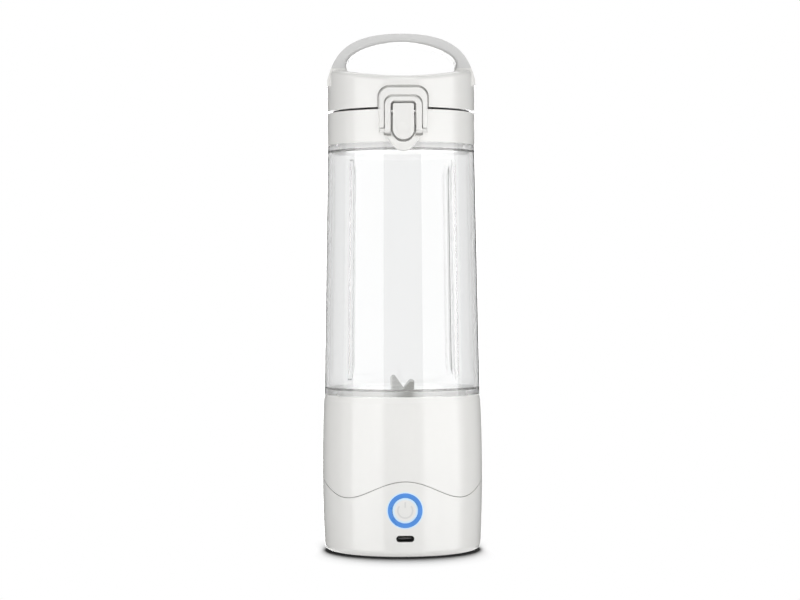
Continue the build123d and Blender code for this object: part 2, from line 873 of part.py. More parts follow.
with BuildPart() as plate_screws:
    with BuildSketch(Plane.XY.offset(plate_bottom - screw_head_height)):
        with PolarLocations(plate_screw_circle, plate_screw_count, start_angle=plate_screw_start):
            Circle(screw_head_radius)
    extrude(amount=screw_head_height)
    with BuildSketch(Plane.XY.offset(plate_bottom)):
        with PolarLocations(plate_screw_circle, plate_screw_count, start_angle=plate_screw_start):
            Circle(screw_shank)
    extrude(amount=plate_thickness + floor_thickness - screw_tip_gap)
plate_screws.part.label = "plate_screws"
export_step(plate_screws.part, "parts/plate_screws.step")

with BuildPart() as motor_screws:
    with BuildSketch(Plane.XY.offset(floor_bottom)):
        with GridLocations(2 * motor_screw_circle, 0, 2, 1):
            Circle(screw_head_radius)
    extrude(amount=screw_head_height)
    with BuildSketch(Plane.XY.offset(floor_bottom)):
        with GridLocations(2 * motor_screw_circle, 0, 2, 1):
            Circle(screw_shank)
    extrude(amount=-plate_thickness - motor_wall)
motor_screws.part.label = "motor_screws"
export_step(motor_screws.part, "parts/motor_screws.step")

# ---------------------------------------------------------------- blade platform
with BuildPart() as blade_platform:
    with BuildSketch(Plane.XZ):
        with BuildLine():
            Polyline(
                (bush_radius, platform_bottom),
                (socket_radius - fit_gap, platform_bottom),
                (socket_radius - fit_gap, platform_top),
                (hub_base_radius, platform_top),
                (hub_radius, hub_top),
                (seal_radius, hub_top),
                (seal_radius, seal_bottom),
                (bush_radius, seal_bottom),
                (bush_radius, platform_bottom),
            )
        make_face()
    revolve(axis=Axis.Z)
    hub_edges = blade_platform.edges().filter_by(GeomType.CIRCLE)
    rim_edges = hub_edges.filter_by_position(Axis.Z, hub_top - 0.1, hub_top + 0.1)
    fillet(rim_edges.sort_by(SortBy.RADIUS)[-1], radius=hub_round)
blade_platform.part.label = "blade_platform"
export_step(blade_platform.part, "parts/blade_platform.step")

with BuildPart() as shaft_bush:
    with BuildSketch(Plane.XY.offset(platform_bottom - bush_flange_height)):
        Circle(bush_flange_radius)
        Circle(shaft_radius + running_clearance, mode=Mode.SUBTRACT)
    extrude(amount=bush_flange_height)
    with BuildSketch(Plane.XY.offset(platform_bottom)):
        Circle(bush_radius)
        Circle(shaft_radius + running_clearance, mode=Mode.SUBTRACT)
    extrude(amount=seal_bottom - platform_bottom)
shaft_bush.part.label = "shaft_bush"
export_step(shaft_bush.part, "parts/shaft_bush.step")

with BuildPart() as shaft_seal:
    with BuildSketch(Plane.XY.offset(seal_bottom)):
        Circle(seal_radius)
        Circle(shaft_radius + running_clearance, mode=Mode.SUBTRACT)
    extrude(amount=seal_height - seal_recess)
shaft_seal.part.label = "shaft_seal"
export_step(shaft_seal.part, "parts/shaft_seal.step")

with BuildPart() as base_gasket:
    with BuildSketch(Plane.XY.offset(platform_top)):
        Circle(neck_radius_bottom)
        Circle(neck_radius_bottom - neck_wall, mode=Mode.SUBTRACT)
    extrude(amount=base_gasket_height)
base_gasket.part.label = "base_gasket"
export_step(base_gasket.part, "parts/base_gasket.step")

# ---------------------------------------------------------------- shaft and blades
with BuildPart() as motor_shaft:
    with BuildSketch(Plane.XY.offset(motor_bottom + shaft_end_gap)):
        Circle(shaft_radius)
    extrude(amount=shaft_top - motor_bottom - shaft_end_gap)
motor_shaft.part.label = "motor_shaft"
export_step(motor_shaft.part, "parts/motor_shaft.step")

with BuildPart() as blade_spacer:
    with BuildSketch(Plane.XY.offset(spacer_bottom)):
        Circle(spacer_radius)
        Circle(shaft_radius, mode=Mode.SUBTRACT)
    extrude(amount=spacer_height)
blade_spacer.part.label = "blade_spacer"
export_step(blade_spacer.part, "parts/blade_spacer.step")


def bent_profile(seat, reach, angle):
    """Side view of a blade: level over the hub, then both arms bent by an angle."""
    rise = (reach - blade_flat) * tan(radians(angle))
    with BuildSketch(Plane.XZ) as profile_sketch:
        with BuildLine():
            Polyline(
                (-reach, seat + rise),
                (-blade_flat, seat),
                (blade_flat, seat),
                (reach, seat + rise),
                (reach, seat + rise + blade_thickness),
                (blade_flat, seat + blade_thickness),
                (-blade_flat, seat + blade_thickness),
                (-reach, seat + rise + blade_thickness),
                (-reach, seat + rise),
            )
        make_face()
    return profile_sketch.sketch_local


def blade_plan(reach):
    """Plan of a blade: full width over the hub, each arm cut back on its trailing side."""
    half = blade_width / 2
    with BuildSketch() as plan_sketch:
        with BuildLine():
            Polyline(
                (reach, half),
                (0, half),
                (-blade_flat, half),
                (-reach, blade_point - half),
                (-reach, -half),
                (0, -half),
                (blade_flat, -half),
                (reach, half - blade_point),
                (reach, half),
            )
        make_face()
        Circle(shaft_radius, mode=Mode.SUBTRACT)
    return plan_sketch.sketch_local


# The wide blade sweeps just over the platform, the wing blade stands up across it
with BuildPart() as sweep_blade:
    with BuildSketch(Plane.XZ):
        add(bent_profile(blade_seat, sweep_reach, sweep_angle))
    extrude(amount=blade_width, both=True)
    with BuildSketch(Plane.XY.offset(platform_top)):
        add(blade_plan(sweep_reach))
    extrude(amount=base_height, mode=Mode.INTERSECT)
sweep_blade.part.label = "sweep_blade"
export_step(sweep_blade.part, "parts/sweep_blade.step")

wing_plane = Plane(origin=(0, 0, 0), x_dir=(0, 1, 0), z_dir=(1, 0, 0))
with BuildPart() as wing_blade:
    with BuildSketch(wing_plane):
        add(bent_profile(upper_seat, wing_reach, wing_angle))
    extrude(amount=blade_width, both=True)
    with BuildSketch(Plane(origin=(0, 0, platform_top), x_dir=(0, 1, 0), z_dir=(0, 0, 1))):
        add(blade_plan(wing_reach))
    extrude(amount=base_height, mode=Mode.INTERSECT)
wing_blade.part.label = "wing_blade"
export_step(wing_blade.part, "parts/wing_blade.step")

with BuildPart() as blade_nut:
    with BuildSketch(Plane.XY.offset(nut_bottom)):
        RegularPolygon(nut_radius, 6)
        Circle(shaft_radius, mode=Mode.SUBTRACT)
    extrude(amount=nut_height)
    with BuildSketch(Plane.XZ):
        with BuildLine():
            CenterArc((0, dome_centre), dome_radius, 0, 90)
            Polyline((0, dome_centre + dome_radius), (0, dome_centre), (dome_radius, dome_centre))
        make_face()
    revolve(axis=Axis.Z)
blade_nut.part.label = "blade_nut"
export_step(blade_nut.part, "parts/blade_nut.step")

# ---------------------------------------------------------------- cup
with BuildPart() as cup:
    with BuildSketch(Plane.XZ):
        with BuildLine():
            Polyline(
                (neck_radius_bottom, neck_bottom),
                (neck_radius_bottom, cup_base),
                (cup_bottom_radius, cup_base),
                (cup_top_radius, cup_end),
                (neck_radius_top, cup_end),
                (neck_radius_top, neck_top),
                (neck_radius_top - neck_wall, neck_top),
                (neck_radius_top - neck_wall, cup_end - neck_wall),
                (
                    cup_inner_radius(cup_end - neck_wall - cup_shoulder),
                    cup_end - neck_wall - cup_shoulder,
                ),
                (
                    cup_inner_radius(cup_base + neck_wall + cup_shoulder),
                    cup_base + neck_wall + cup_shoulder,
                ),
                (neck_radius_bottom - neck_wall, cup_base + neck_wall),
                (neck_radius_bottom - neck_wall, neck_bottom),
                (neck_radius_bottom, neck_bottom),
            )
        make_face()
    revolve(axis=Axis.Z)
    # four inner ribs, which break up the swirl
    rib_low = cup_base + neck_wall + cup_shoulder + rib_margin
    rib_high = cup_end - neck_wall - cup_shoulder - rib_margin
    for rib in range(rib_count):
        turn = rib_start + rib * 360 / rib_count
        rib_plane = Plane(
            origin=(0, 0, 0),
            x_dir=(cos(radians(turn)), sin(radians(turn)), 0),
            z_dir=(sin(radians(turn)), -cos(radians(turn)), 0),
        )
        with BuildSketch(rib_plane):
            with BuildLine():
                Polyline(
                    (cup_inner_radius(rib_low) + rib_root, rib_low),
                    (cup_inner_radius(rib_high) + rib_root, rib_high),
                    (cup_inner_radius(rib_high), rib_high),
                    (cup_inner_radius(rib_high - rib_end) - rib_depth, rib_high - rib_end),
                    (cup_inner_radius(rib_low + rib_end) - rib_depth, rib_low + rib_end),
                    (cup_inner_radius(rib_low), rib_low),
                    (cup_inner_radius(rib_low) + rib_root, rib_low),
                )
            make_face()
        extrude(amount=rib_width / 2, both=True)
cup.part.label = "cup"
export_step(cup.part, "parts/cup.step")

# ---------------------------------------------------------------- latch pad and its recess
with BuildPart() as latch_pad:
    with BuildSketch(Plane.XZ.offset(pad_back)) as pad_outline:
        with Locations((0, collar_bottom + pad_side_bottom)):
            Rectangle(
                2 * pad_half_width, pad_top - pad_side_bottom, align=(Align.CENTER, Align.MIN)
            )
        fillet(pad_outline.vertices().group_by(Axis.Y)[-1], radius=pad_corner)
    extrude(amount=pad_curve - pad_back, taper=pad_taper)
    with BuildSketch(Plane.XZ.offset(pad_back)):
        with Locations((0, tab_centre)):
            Circle(pad_tab_radius)
        with Locations((0, tab_centre + pad_waist_rise)):
            Circle(pad_waist_radius)
        make_hull()
    extrude(amount=pad_curve - pad_back, taper=pad_taper)
    with BuildSketch(Plane.XY.offset(collar_bottom - 2 * pad_drop)):
        add(behind_face(pad_front, 2 * pad_half_width))
    extrude(amount=2 * pad_top, mode=Mode.INTERSECT)
    # clear of the flip cap above the collar and of the cup below it
    with BuildSketch(Plane.XY.offset(collar_top)):
        Circle(tongue_back)
    extrude(amount=pad_top, mode=Mode.SUBTRACT)
    with BuildSketch(Plane.XY.offset(collar_bottom)):
        Circle(tab_back)
    extrude(amount=-2 * pad_drop, mode=Mode.SUBTRACT)
    with BuildSketch(Plane.XY.offset(collar_bottom)):
        Circle(skirt_radius + fit_gap)
    extrude(amount=collar_height, mode=Mode.SUBTRACT)

# The wide, shallow recess that the lock ring lies in
with BuildPart() as lock_channel:
    with BuildSketch(Plane.XZ.offset(pad_back)) as channel_outline:
        with Locations((0, collar_bottom + channel_bottom)):
            Rectangle(
                2 * channel_half,
                lock_top + channel_gap_top - channel_bottom,
                align=(Align.CENTER, Align.MIN),
            )
        fillet(channel_outline.vertices().group_by(Axis.Y)[-1], radius=lock_corner)
        fillet(channel_outline.vertices().group_by(Axis.Y)[0], radius=lock_corner / 2)
    extrude(amount=pad_back)
    with BuildSketch(Plane.XY.offset(collar_bottom)):
        add(behind_face(channel_floor, 2 * channel_half))
    extrude(amount=pad_top, mode=Mode.SUBTRACT)
    # room for the turning eyes at the foot of the ring's legs
    for side in (-1, 1):
        with BuildSketch(Plane.YZ.offset(side * channel_half)):
            with Locations((-lock_pivot_offset, lock_pivot)):
                Circle(lock_eye_room)
            with Locations((-lock_eye_floor, lock_pivot)):
                Rectangle(
                    2 * lock_eye_room,
                    2 * lock_eye_room,
                    align=(Align.MAX, Align.CENTER),
                    mode=Mode.INTERSECT,
                )
        extrude(amount=-side * (channel_half - pocket_half))

# The deeper pocket that the rocker button moves in, with its hub
with BuildPart() as latch_pocket:
    with BuildSketch(Plane.XZ.offset(latch_pocket_floor)):
        with Locations((0, latch_arc_centre)):
            Rectangle(
                2 * pocket_half,
                collar_bottom + latch_top + latch_gap - latch_arc_centre,
                align=(Align.CENTER, Align.MIN),
            )
            Ellipse(pocket_half, latch_half_width + latch_gap_bottom)
    extrude(amount=pad_back)
    with BuildSketch(Plane.YZ):
        with Locations((-latch_pivot_offset, latch_pivot)):
            Circle(latch_hub_radius + latch_hub_gap)
    extrude(amount=pocket_half, both=True)

# ---------------------------------------------------------------- lid collar with the spout
with BuildPart() as lid_collar:
    with BuildSketch(Plane.XZ):
        with Locations((skirt_radius, collar_bottom)):
            Rectangle(lid_radius - skirt_radius, collar_height, align=(Align.MIN, Align.MIN))
        with Locations((spout_bore, deck_bottom)):
            Rectangle(lid_radius - spout_bore, deck_thickness, align=(Align.MIN, Align.MIN))
            Rectangle(
                spout_radius - spout_bore, spout_top - deck_bottom, align=(Align.MIN, Align.MIN)
            )
    revolve(axis=Axis.Z)
    chamfer(lid_collar.edges().group_by(Axis.Z)[-1], length=spout_bevel)
    add(latch_pad.part)
    add(lock_channel.part, mode=Mode.SUBTRACT)
    add(latch_pocket.part, mode=Mode.SUBTRACT)
    # bores of the latch pin and the lock ring's stubs, which snap in from the front
    with BuildSketch(Plane.YZ):
        with Locations((-latch_pivot_offset, latch_pivot)):
            Circle(latch_pin_radius)
    extrude(amount=latch_pin_half, both=True, mode=Mode.SUBTRACT)
    for side in (-1, 1):
        with BuildSketch(Plane.YZ.offset(side * pocket_half)):
            with Locations((-lock_pivot_offset, lock_pivot)):
                Circle(lock_stub_radius + fit_gap)
                Rectangle(
                    pad_curve - pad_back,
                    2 * (lock_stub_radius + fit_gap),
                    align=(Align.MAX, Align.CENTER),
                )
        extrude(amount=side * (lock_stub_half + fit_gap - pocket_half), mode=Mode.SUBTRACT)
    # rear knuckle, and room for the flip cap's two knuckles beside it
    with BuildSketch(Plane.YZ):
        with Locations((hinge_offset, hinge_height)):
            Circle(knuckle_radius + hinge_sweep_gap)
    extrude(amount=hinge_half + hinge_side_gap, both=True, mode=Mode.SUBTRACT)
    with BuildSketch(Plane.YZ):
        with Locations((hinge_offset, hinge_height)):
            Circle(knuckle_radius)
        with Locations((lid_radius - cap_wall / 2, hinge_height - web_height)):
            Circle(web_end)
        make_hull()
    extrude(amount=knuckle_half, both=True)
    with BuildSketch(Plane.XY.offset(collar_bottom)):
        Circle(skirt_radius)
    extrude(amount=deck_bottom - collar_bottom, mode=Mode.SUBTRACT)
    with BuildSketch(Plane.YZ):
        with Locations((hinge_offset, hinge_height)):
            Circle(hinge_pin_radius + running_clearance)
    extrude(amount=hinge_half, both=True, mode=Mode.SUBTRACT)
lid_collar.part.label = "lid_collar"
export_step(lid_collar.part, "parts/lid_collar.step")

with BuildPart() as collar_gasket:
    with BuildSketch(Plane.XY.offset(deck_bottom - lid_gasket_height)):
        Circle(neck_radius_top)
        Circle(neck_radius_top - neck_wall, mode=Mode.SUBTRACT)
    extrude(amount=lid_gasket_height)
collar_gasket.part.label = "collar_gasket"
export_step(collar_gasket.part, "parts/collar_gasket.step")

with BuildPart() as hinge_pin:
    with BuildSketch(Plane.YZ):
        with Locations((hinge_offset, hinge_height)):
            Circle(hinge_pin_radius)
    extrude(amount=hinge_half - fit_gap, both=True)
hinge_pin.part.label = "hinge_pin"
export_step(hinge_pin.part, "parts/hinge_pin.step")

# ---------------------------------------------------------------- front latch
with BuildPart() as lock_ring:
    with BuildSketch(Plane.XZ.offset(pad_back)) as ring_outline:
        with Locations((0, lock_pivot)):
            Rectangle(
                2 * lock_half_width,
                lock_top - lock_pivot_height,
                align=(Align.CENTER, Align.MIN),
            )
        fillet(ring_outline.vertices().group_by(Axis.Y)[-1], radius=lock_corner)
        with BuildSketch(mode=Mode.SUBTRACT) as ring_window:
            with Locations((0, lock_pivot)):
                Rectangle(
                    2 * (lock_half_width - lock_leg),
                    lock_top - lock_pivot_height - lock_bar,
                    align=(Align.CENTER, Align.MIN),
                )
            fillet(ring_window.vertices().group_by(Axis.Y)[-1], radius=lock_corner - lock_bar)
    extrude(amount=pad_back)
    with BuildSketch(Plane.XY.offset(collar_bottom)):
        add(behind_face(lock_front, lock_half_width + 1))
        add(behind_face(lock_front - lock_thickness, lock_half_width + 1), mode=Mode.SUBTRACT)
    extrude(amount=pad_top, mode=Mode.INTERSECT)
    fillet(lock_ring.edges().group_by(Axis.Y)[0], radius=lock_round)
    for side in (-1, 1):
        with BuildSketch(Plane.YZ.offset(side * lock_half_width)):
            with Locations((-lock_pivot_offset, lock_pivot)):
                Circle(lock_eye_radius)
        extrude(amount=-side * lock_leg)
        with BuildSketch(Plane.YZ.offset(side * lock_half_width)):
            with Locations((-lock_pivot_offset, lock_pivot)):
                Circle(lock_stub_radius)
        extrude(amount=side * (lock_stub_half - lock_half_width))
lock_ring.part.label = "lock_ring"
export_step(lock_ring.part, "parts/lock_ring.step")

with BuildPart() as latch_button:
    with BuildSketch(Plane.XZ.offset(latch_back)) as button_outline:
        with Locations((0, latch_arc_centre)):
            Rectangle(
                2 * latch_half_width,
                collar_bottom + latch_top - latch_arc_centre,
                align=(Align.CENTER, Align.MIN),
            )
            Circle(latch_half_width)
        fillet(button_outline.vertices().group_by(Axis.Y)[-1], radius=latch_corner)
    extrude(amount=pad_back)
    with BuildSketch(Plane.XY.offset(collar_bottom)):
        add(behind_face(latch_front, latch_half_width + 1))
    extrude(amount=pad_top, mode=Mode.INTERSECT)
    fillet(latch_button.edges().group_by(Axis.Y)[0], radius=latch_round)
    # finger dimple, concentric with the round lower end
    with Locations((0, dimple_depth - dimple_ball - latch_front, latch_arc_centre)):
        Sphere(dimple_ball, mode=Mode.SUBTRACT)
    # the lower end's back slopes away, so that it can swing in
    with BuildSketch(Plane.YZ):
        with BuildLine():
            Polyline(
                (-latch_back, collar_bottom + latch_bottom),
                (-latch_back, collar_bottom + latch_bottom + latch_bevel_height),
                (-latch_back - latch_bevel_depth, collar_bottom + latch_bottom),
                (-latch_back, collar_bottom + latch_bottom),
            )
        make_face()
    extrude(amount=latch_half_width, both=True, mode=Mode.SUBTRACT)
    with BuildSketch(Plane.YZ):
        with Locations((-latch_pivot_offset, latch_pivot)):
            Circle(latch_hub_radius)
            Rectangle(
                latch_back - latch_pivot_offset + latch_hub_radius,
                2 * latch_hub_radius,
                align=(Align.MAX, Align.CENTER),
            )
    extrude(amount=latch_half_width, both=True)
    with BuildSketch(Plane.XY.offset(collar_bottom + latch_top - hook_height)):
        with Locations((0, -hook_reach)):
            Rectangle(
                2 * hook_half_width,
                latch_back - hook_reach + latch_hub_radius,
                align=(Align.CENTER, Align.MAX),
            )
    extrude(amount=hook_height - hook_relief)
    with BuildSketch(Plane.YZ):
        with Locations((-latch_pivot_offset, latch_pivot)):
            Circle(latch_pin_radius + running_clearance)
    extrude(amount=latch_half_width, both=True, mode=Mode.SUBTRACT)
latch_button.part.label = "latch_button"
export_step(latch_button.part, "parts/latch_button.step")

with BuildPart() as latch_pin:
    with BuildSketch(Plane.YZ):
        with Locations((-latch_pivot_offset, latch_pivot)):
            Circle(latch_pin_radius)
    extrude(amount=latch_pin_half, both=True)
latch_pin.part.label = "latch_pin"
export_step(latch_pin.part, "parts/latch_pin.step")

# A bowed leaf behind the button's lower arm pushes it back out
leaf_low = latch_arc_centre
leaf_high = latch_arc_centre + leaf_length
leaf_middle = (leaf_low + leaf_high) / 2
with BuildPart() as latch_spring:
    with BuildSketch(Plane.YZ):
        with BuildLine():
            ThreePointArc(
                (-latch_pocket_floor, leaf_low),
                (-latch_pocket_floor - leaf_bow, leaf_middle),
                (-latch_pocket_floor, leaf_high),
            )
            Line(
                (-latch_pocket_floor, leaf_high), (-latch_pocket_floor - leaf_thickness, leaf_high)
            )
            ThreePointArc(
                (-latch_pocket_floor - leaf_thickness, leaf_high),
                (-latch_pocket_floor - leaf_thickness - leaf_bow, leaf_middle),
                (-latch_pocket_floor - leaf_thickness, leaf_low),
            )
            Line(
                (-latch_pocket_floor - leaf_thickness, leaf_low), (-latch_pocket_floor, leaf_low)
            )
        make_face()
    extrude(amount=leaf_half_width, both=True)
latch_spring.part.label = "latch_spring"
export_step(latch_spring.part, "parts/latch_spring.step")

# ---------------------------------------------------------------- carry loop in one with its feet
with BuildPart() as strap_blank:
    with BuildSketch(Plane.XZ):
        add(loop_view.sketch_local)
        with Locations((0, cap_ceiling)):
            Rectangle(
                3 * lid_radius,
                loop_top - cap_ceiling,
                align=(Align.CENTER, Align.MIN),
                mode=Mode.INTERSECT,
            )
    extrude(amount=strap_half_depth, both=True)
    with BuildSketch(Plane.YZ):
        with BuildLine():
            Polyline(
                (-strap_half_depth, cap_ceiling),
                (-strap_half_depth, loop_seam),
                (-strap_crown_half_depth, loop_top),
                (strap_crown_half_depth, loop_top),
                (strap_half_depth, loop_seam),
                (strap_half_depth, cap_ceiling),
                (-strap_half_depth, cap_ceiling),
            )
        make_face()
    extrude(amount=lid_radius, both=True, mode=Mode.INTERSECT)
    strap_edges = strap_blank.edges().filter_by(GeomType.LINE, reverse=True)
    fillet(strap_edges.filter_by_position(Axis.Z, loop_seam, loop_top), radius=strap_round)

# ---------------------------------------------------------------- flip cap
with BuildPart() as flip_cap:
    with BuildSketch(Plane.XY.offset(cap_bottom)):
        Circle(lid_radius)
    extrude(amount=loop_top - cap_bottom)
    # the saddle-shaped top, with one rounded rim all the way round
    with BuildSketch(Plane.XZ):
        with Locations((0, deck_centre)):
            Circle(deck_sag_radius)
    extrude(amount=2 * lid_radius, both=True, mode=Mode.SUBTRACT)
    fillet(flip_cap.edges().filter_by_position(Axis.Z, shoulder, loop_top), cap_edge_round)
    # the sides lean in towards the carry loop
    with BuildSketch(Plane.XZ):
        add(arch_view.sketch_local)
    extrude(amount=2 * lid_radius, both=True, mode=Mode.INTERSECT)
    add(strap_blank.part)
    with BuildSketch(Plane.XY.offset(loop_seam)):
        Circle(2 * lid_radius)
    extrude(amount=loop_rise, mode=Mode.SUBTRACT)
    with BuildSketch(Plane.XY.offset(cap_bottom)):
        Circle(lid_radius - cap_wall)
    extrude(amount=cap_ceiling - cap_bottom, mode=Mode.SUBTRACT)
    with BuildSketch(Plane.XY.offset(disc_top)):
        Circle(boss_radius)
        Circle(stud_radius, mode=Mode.SUBTRACT)
    extrude(amount=cap_ceiling - disc_top)
    # sockets for the carry loop's two feet
    with BuildSketch(Plane.XY.offset(loop_seam)):
        with GridLocations(2 * tenon_offset, 0, 2, 1):
            Rectangle(tenon_width, 2 * tenon_half_depth)
    extrude(amount=-tenon_depth, mode=Mode.SUBTRACT)
    # recess for the latch pad's tongue, and a catch slot behind the rocker button
    with BuildSketch(Plane.XZ) as tongue_room:
        with Locations((0, cap_bottom)):
            Rectangle(
                2 * (pad_half_width + recess_gap),
                collar_bottom + pad_top + recess_gap - cap_bottom,
                align=(Align.CENTER, Align.MIN),
            )
        fillet(tongue_room.vertices().group_by(Axis.Y)[-1], radius=pad_corner)
    recess_blank = extrude(amount=pad_curve, mode=Mode.PRIVATE)
    recess_core = Pos(0, 0, cap_bottom) * Cylinder(
        recess_radius,
        pad_top,
        align=(Align.CENTER, Align.CENTER, Align.MIN),
        mode=Mode.PRIVATE,
    )
    add(recess_blank - recess_core, mode=Mode.SUBTRACT)
    with BuildSketch(Plane.XY.offset(collar_bottom + latch_top - hook_height - catch_gap)):
        with Locations((0, -recess_radius)):
            Rectangle(2 * (hook_half_width + catch_gap), 2 * catch_depth)
    extrude(amount=hook_height + 2 * catch_gap, mode=Mode.SUBTRACT)
    # rear hinge
    with BuildSketch(Plane.YZ):
        with Locations((hinge_offset, hinge_height)):
            Circle(knuckle_radius + hinge_sweep_gap)
    extrude(amount=knuckle_half + hinge_side_gap, both=True, mode=Mode.SUBTRACT)
    for side in (-1, 1):
        with BuildSketch(Plane.YZ.offset(side * hinge_half)):
            with Locations((hinge_offset, hinge_height)):
                Circle(knuckle_radius)
            with Locations((lid_radius - cap_wall, hinge_height + web_height)):
                Circle(web_end)
            make_hull()
        extrude(amount=-side * (hinge_half - knuckle_half - hinge_side_gap))
    with BuildSketch(Plane.YZ):
        with Locations((hinge_offset, hinge_height)):
            Circle(hinge_pin_radius + running_clearance)
    extrude(amount=hinge_half, both=True, mode=Mode.SUBTRACT)
flip_cap.part.label = "flip_cap"
export_step(flip_cap.part, "parts/flip_cap.step")

# ---------------------------------------------------------------- carry loop
with BuildPart() as carry_loop:
    add(strap_blank.part)
    with BuildSketch(Plane.XY.offset(loop_seam)):
        Circle(2 * lid_radius)
    extrude(amount=cap_bottom - loop_seam, mode=Mode.SUBTRACT)
    with BuildSketch(Plane.XY.offset(loop_seam)):
        with GridLocations(2 * tenon_offset, 0, 2, 1):
            Rectangle(tenon_width - fit_gap, 2 * tenon_half_depth - fit_gap)
    extrude(amount=-tenon_depth)
carry_loop.part.label = "carry_loop"
export_step(carry_loop.part, "parts/carry_loop.step")

# ---------------------------------------------------------------- spout seal
with BuildPart() as spout_seal:
    with BuildSketch(Plane.XY.offset(disc_bottom)):
        Circle(seal_disc_radius)
        Circle(stud_radius, mode=Mode.SUBTRACT)
    extrude(amount=seal_thickness)
    with BuildSketch(Plane.XY.offset(disc_bottom)):
        Circle(seal_lip_radius)
        Circle(seal_lip_radius - seal_lip_wall, mode=Mode.SUBTRACT)
    extrude(amount=-seal_lip_depth)
spout_seal.part.label = "spout_seal"
export_step(spout_seal.part, "parts/spout_seal.step")

with BuildPart() as seal_retainer:
    with BuildSketch(Plane.XY.offset(disc_bottom)):
        Circle(retainer_radius)
    extrude(amount=-retainer_thickness)
    with BuildSketch(Plane.XY.offset(disc_bottom)):
        Circle(stud_radius)
    extrude(amount=cap_ceiling - disc_bottom)
seal_retainer.part.label = "seal_retainer"
export_step(seal_retainer.part, "parts/seal_retainer.step")
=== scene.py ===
"""Looks of a portable bottle blender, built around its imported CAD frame. Metres, +Z up, front at -Y."""

import json
from math import cos, pi, radians, sin, tau

import bmesh
import bpy
from mathutils import Matrix, Vector
from mathutils.bvhtree import BVHTree


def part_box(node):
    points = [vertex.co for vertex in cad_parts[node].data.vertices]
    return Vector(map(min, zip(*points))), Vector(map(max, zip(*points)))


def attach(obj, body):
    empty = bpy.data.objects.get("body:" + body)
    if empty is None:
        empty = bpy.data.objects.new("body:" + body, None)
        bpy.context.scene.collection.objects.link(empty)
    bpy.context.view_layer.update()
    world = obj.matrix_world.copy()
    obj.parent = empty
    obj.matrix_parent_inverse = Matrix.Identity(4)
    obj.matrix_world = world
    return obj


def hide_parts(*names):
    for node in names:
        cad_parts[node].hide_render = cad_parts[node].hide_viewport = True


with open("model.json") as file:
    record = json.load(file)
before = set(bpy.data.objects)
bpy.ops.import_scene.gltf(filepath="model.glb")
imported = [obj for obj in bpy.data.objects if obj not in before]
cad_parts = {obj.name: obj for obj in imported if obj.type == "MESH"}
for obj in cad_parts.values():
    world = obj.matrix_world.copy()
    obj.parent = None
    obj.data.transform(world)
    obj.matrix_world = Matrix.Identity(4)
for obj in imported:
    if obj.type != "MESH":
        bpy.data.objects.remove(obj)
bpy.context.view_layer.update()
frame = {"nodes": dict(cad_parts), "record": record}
scene = bpy.context.scene

MM = 0.001

# ---------------------------------------------------------------- places read from the frame
ring_low, ring_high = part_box("light_ring")
BUTTON_Z = (ring_low.z + ring_high.z) / 2
RING_OUTER = (ring_high.x - ring_low.x) / 2
key_low, key_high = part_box("power_button")
KEY_RADIUS = (key_high.x - key_low.x) / 2
CUP_LOW, CUP_HIGH = (corner.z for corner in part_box("cup"))
WALL_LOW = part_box("upper_housing")[1].z
WALL_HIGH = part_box("lid_collar")[0].z


def surface_of(node):
    """The CAD node's surface, for rays that find where it is."""
    mesh = frame["nodes"][node].data
    verts = [v.co.copy() for v in mesh.vertices]
    faces = [tuple(p.vertices) for p in mesh.polygons]
    return BVHTree.FromPolygons(verts, faces)


# ---------------------------------------------------------------- camera
def place_camera():
    """A view of the front, almost level, a little from the left and slightly rolled."""
    distance = 1.171
    height = 0.1403
    azimuth = radians(-1.9)
    roll = radians(-0.25)
    data = bpy.data.cameras.new("camera")
    data.lens = 100
    data.sensor_width = 36
    data.shift_x = -0.0019
    data.shift_y = -0.021
    camera = bpy.data.objects.new("camera", data)
    scene.collection.objects.link(camera)
    place = Vector((sin(azimuth) * distance, -cos(azimuth) * distance, height))
    upright = Matrix.Rotation(azimuth, 4, "Z") @ Matrix.Rotation(pi / 2, 4, "X")
    camera.matrix_world = Matrix.Translation(place) @ (upright @ Matrix.Rotation(roll, 4, "Z"))
    scene.camera = camera


place_camera()


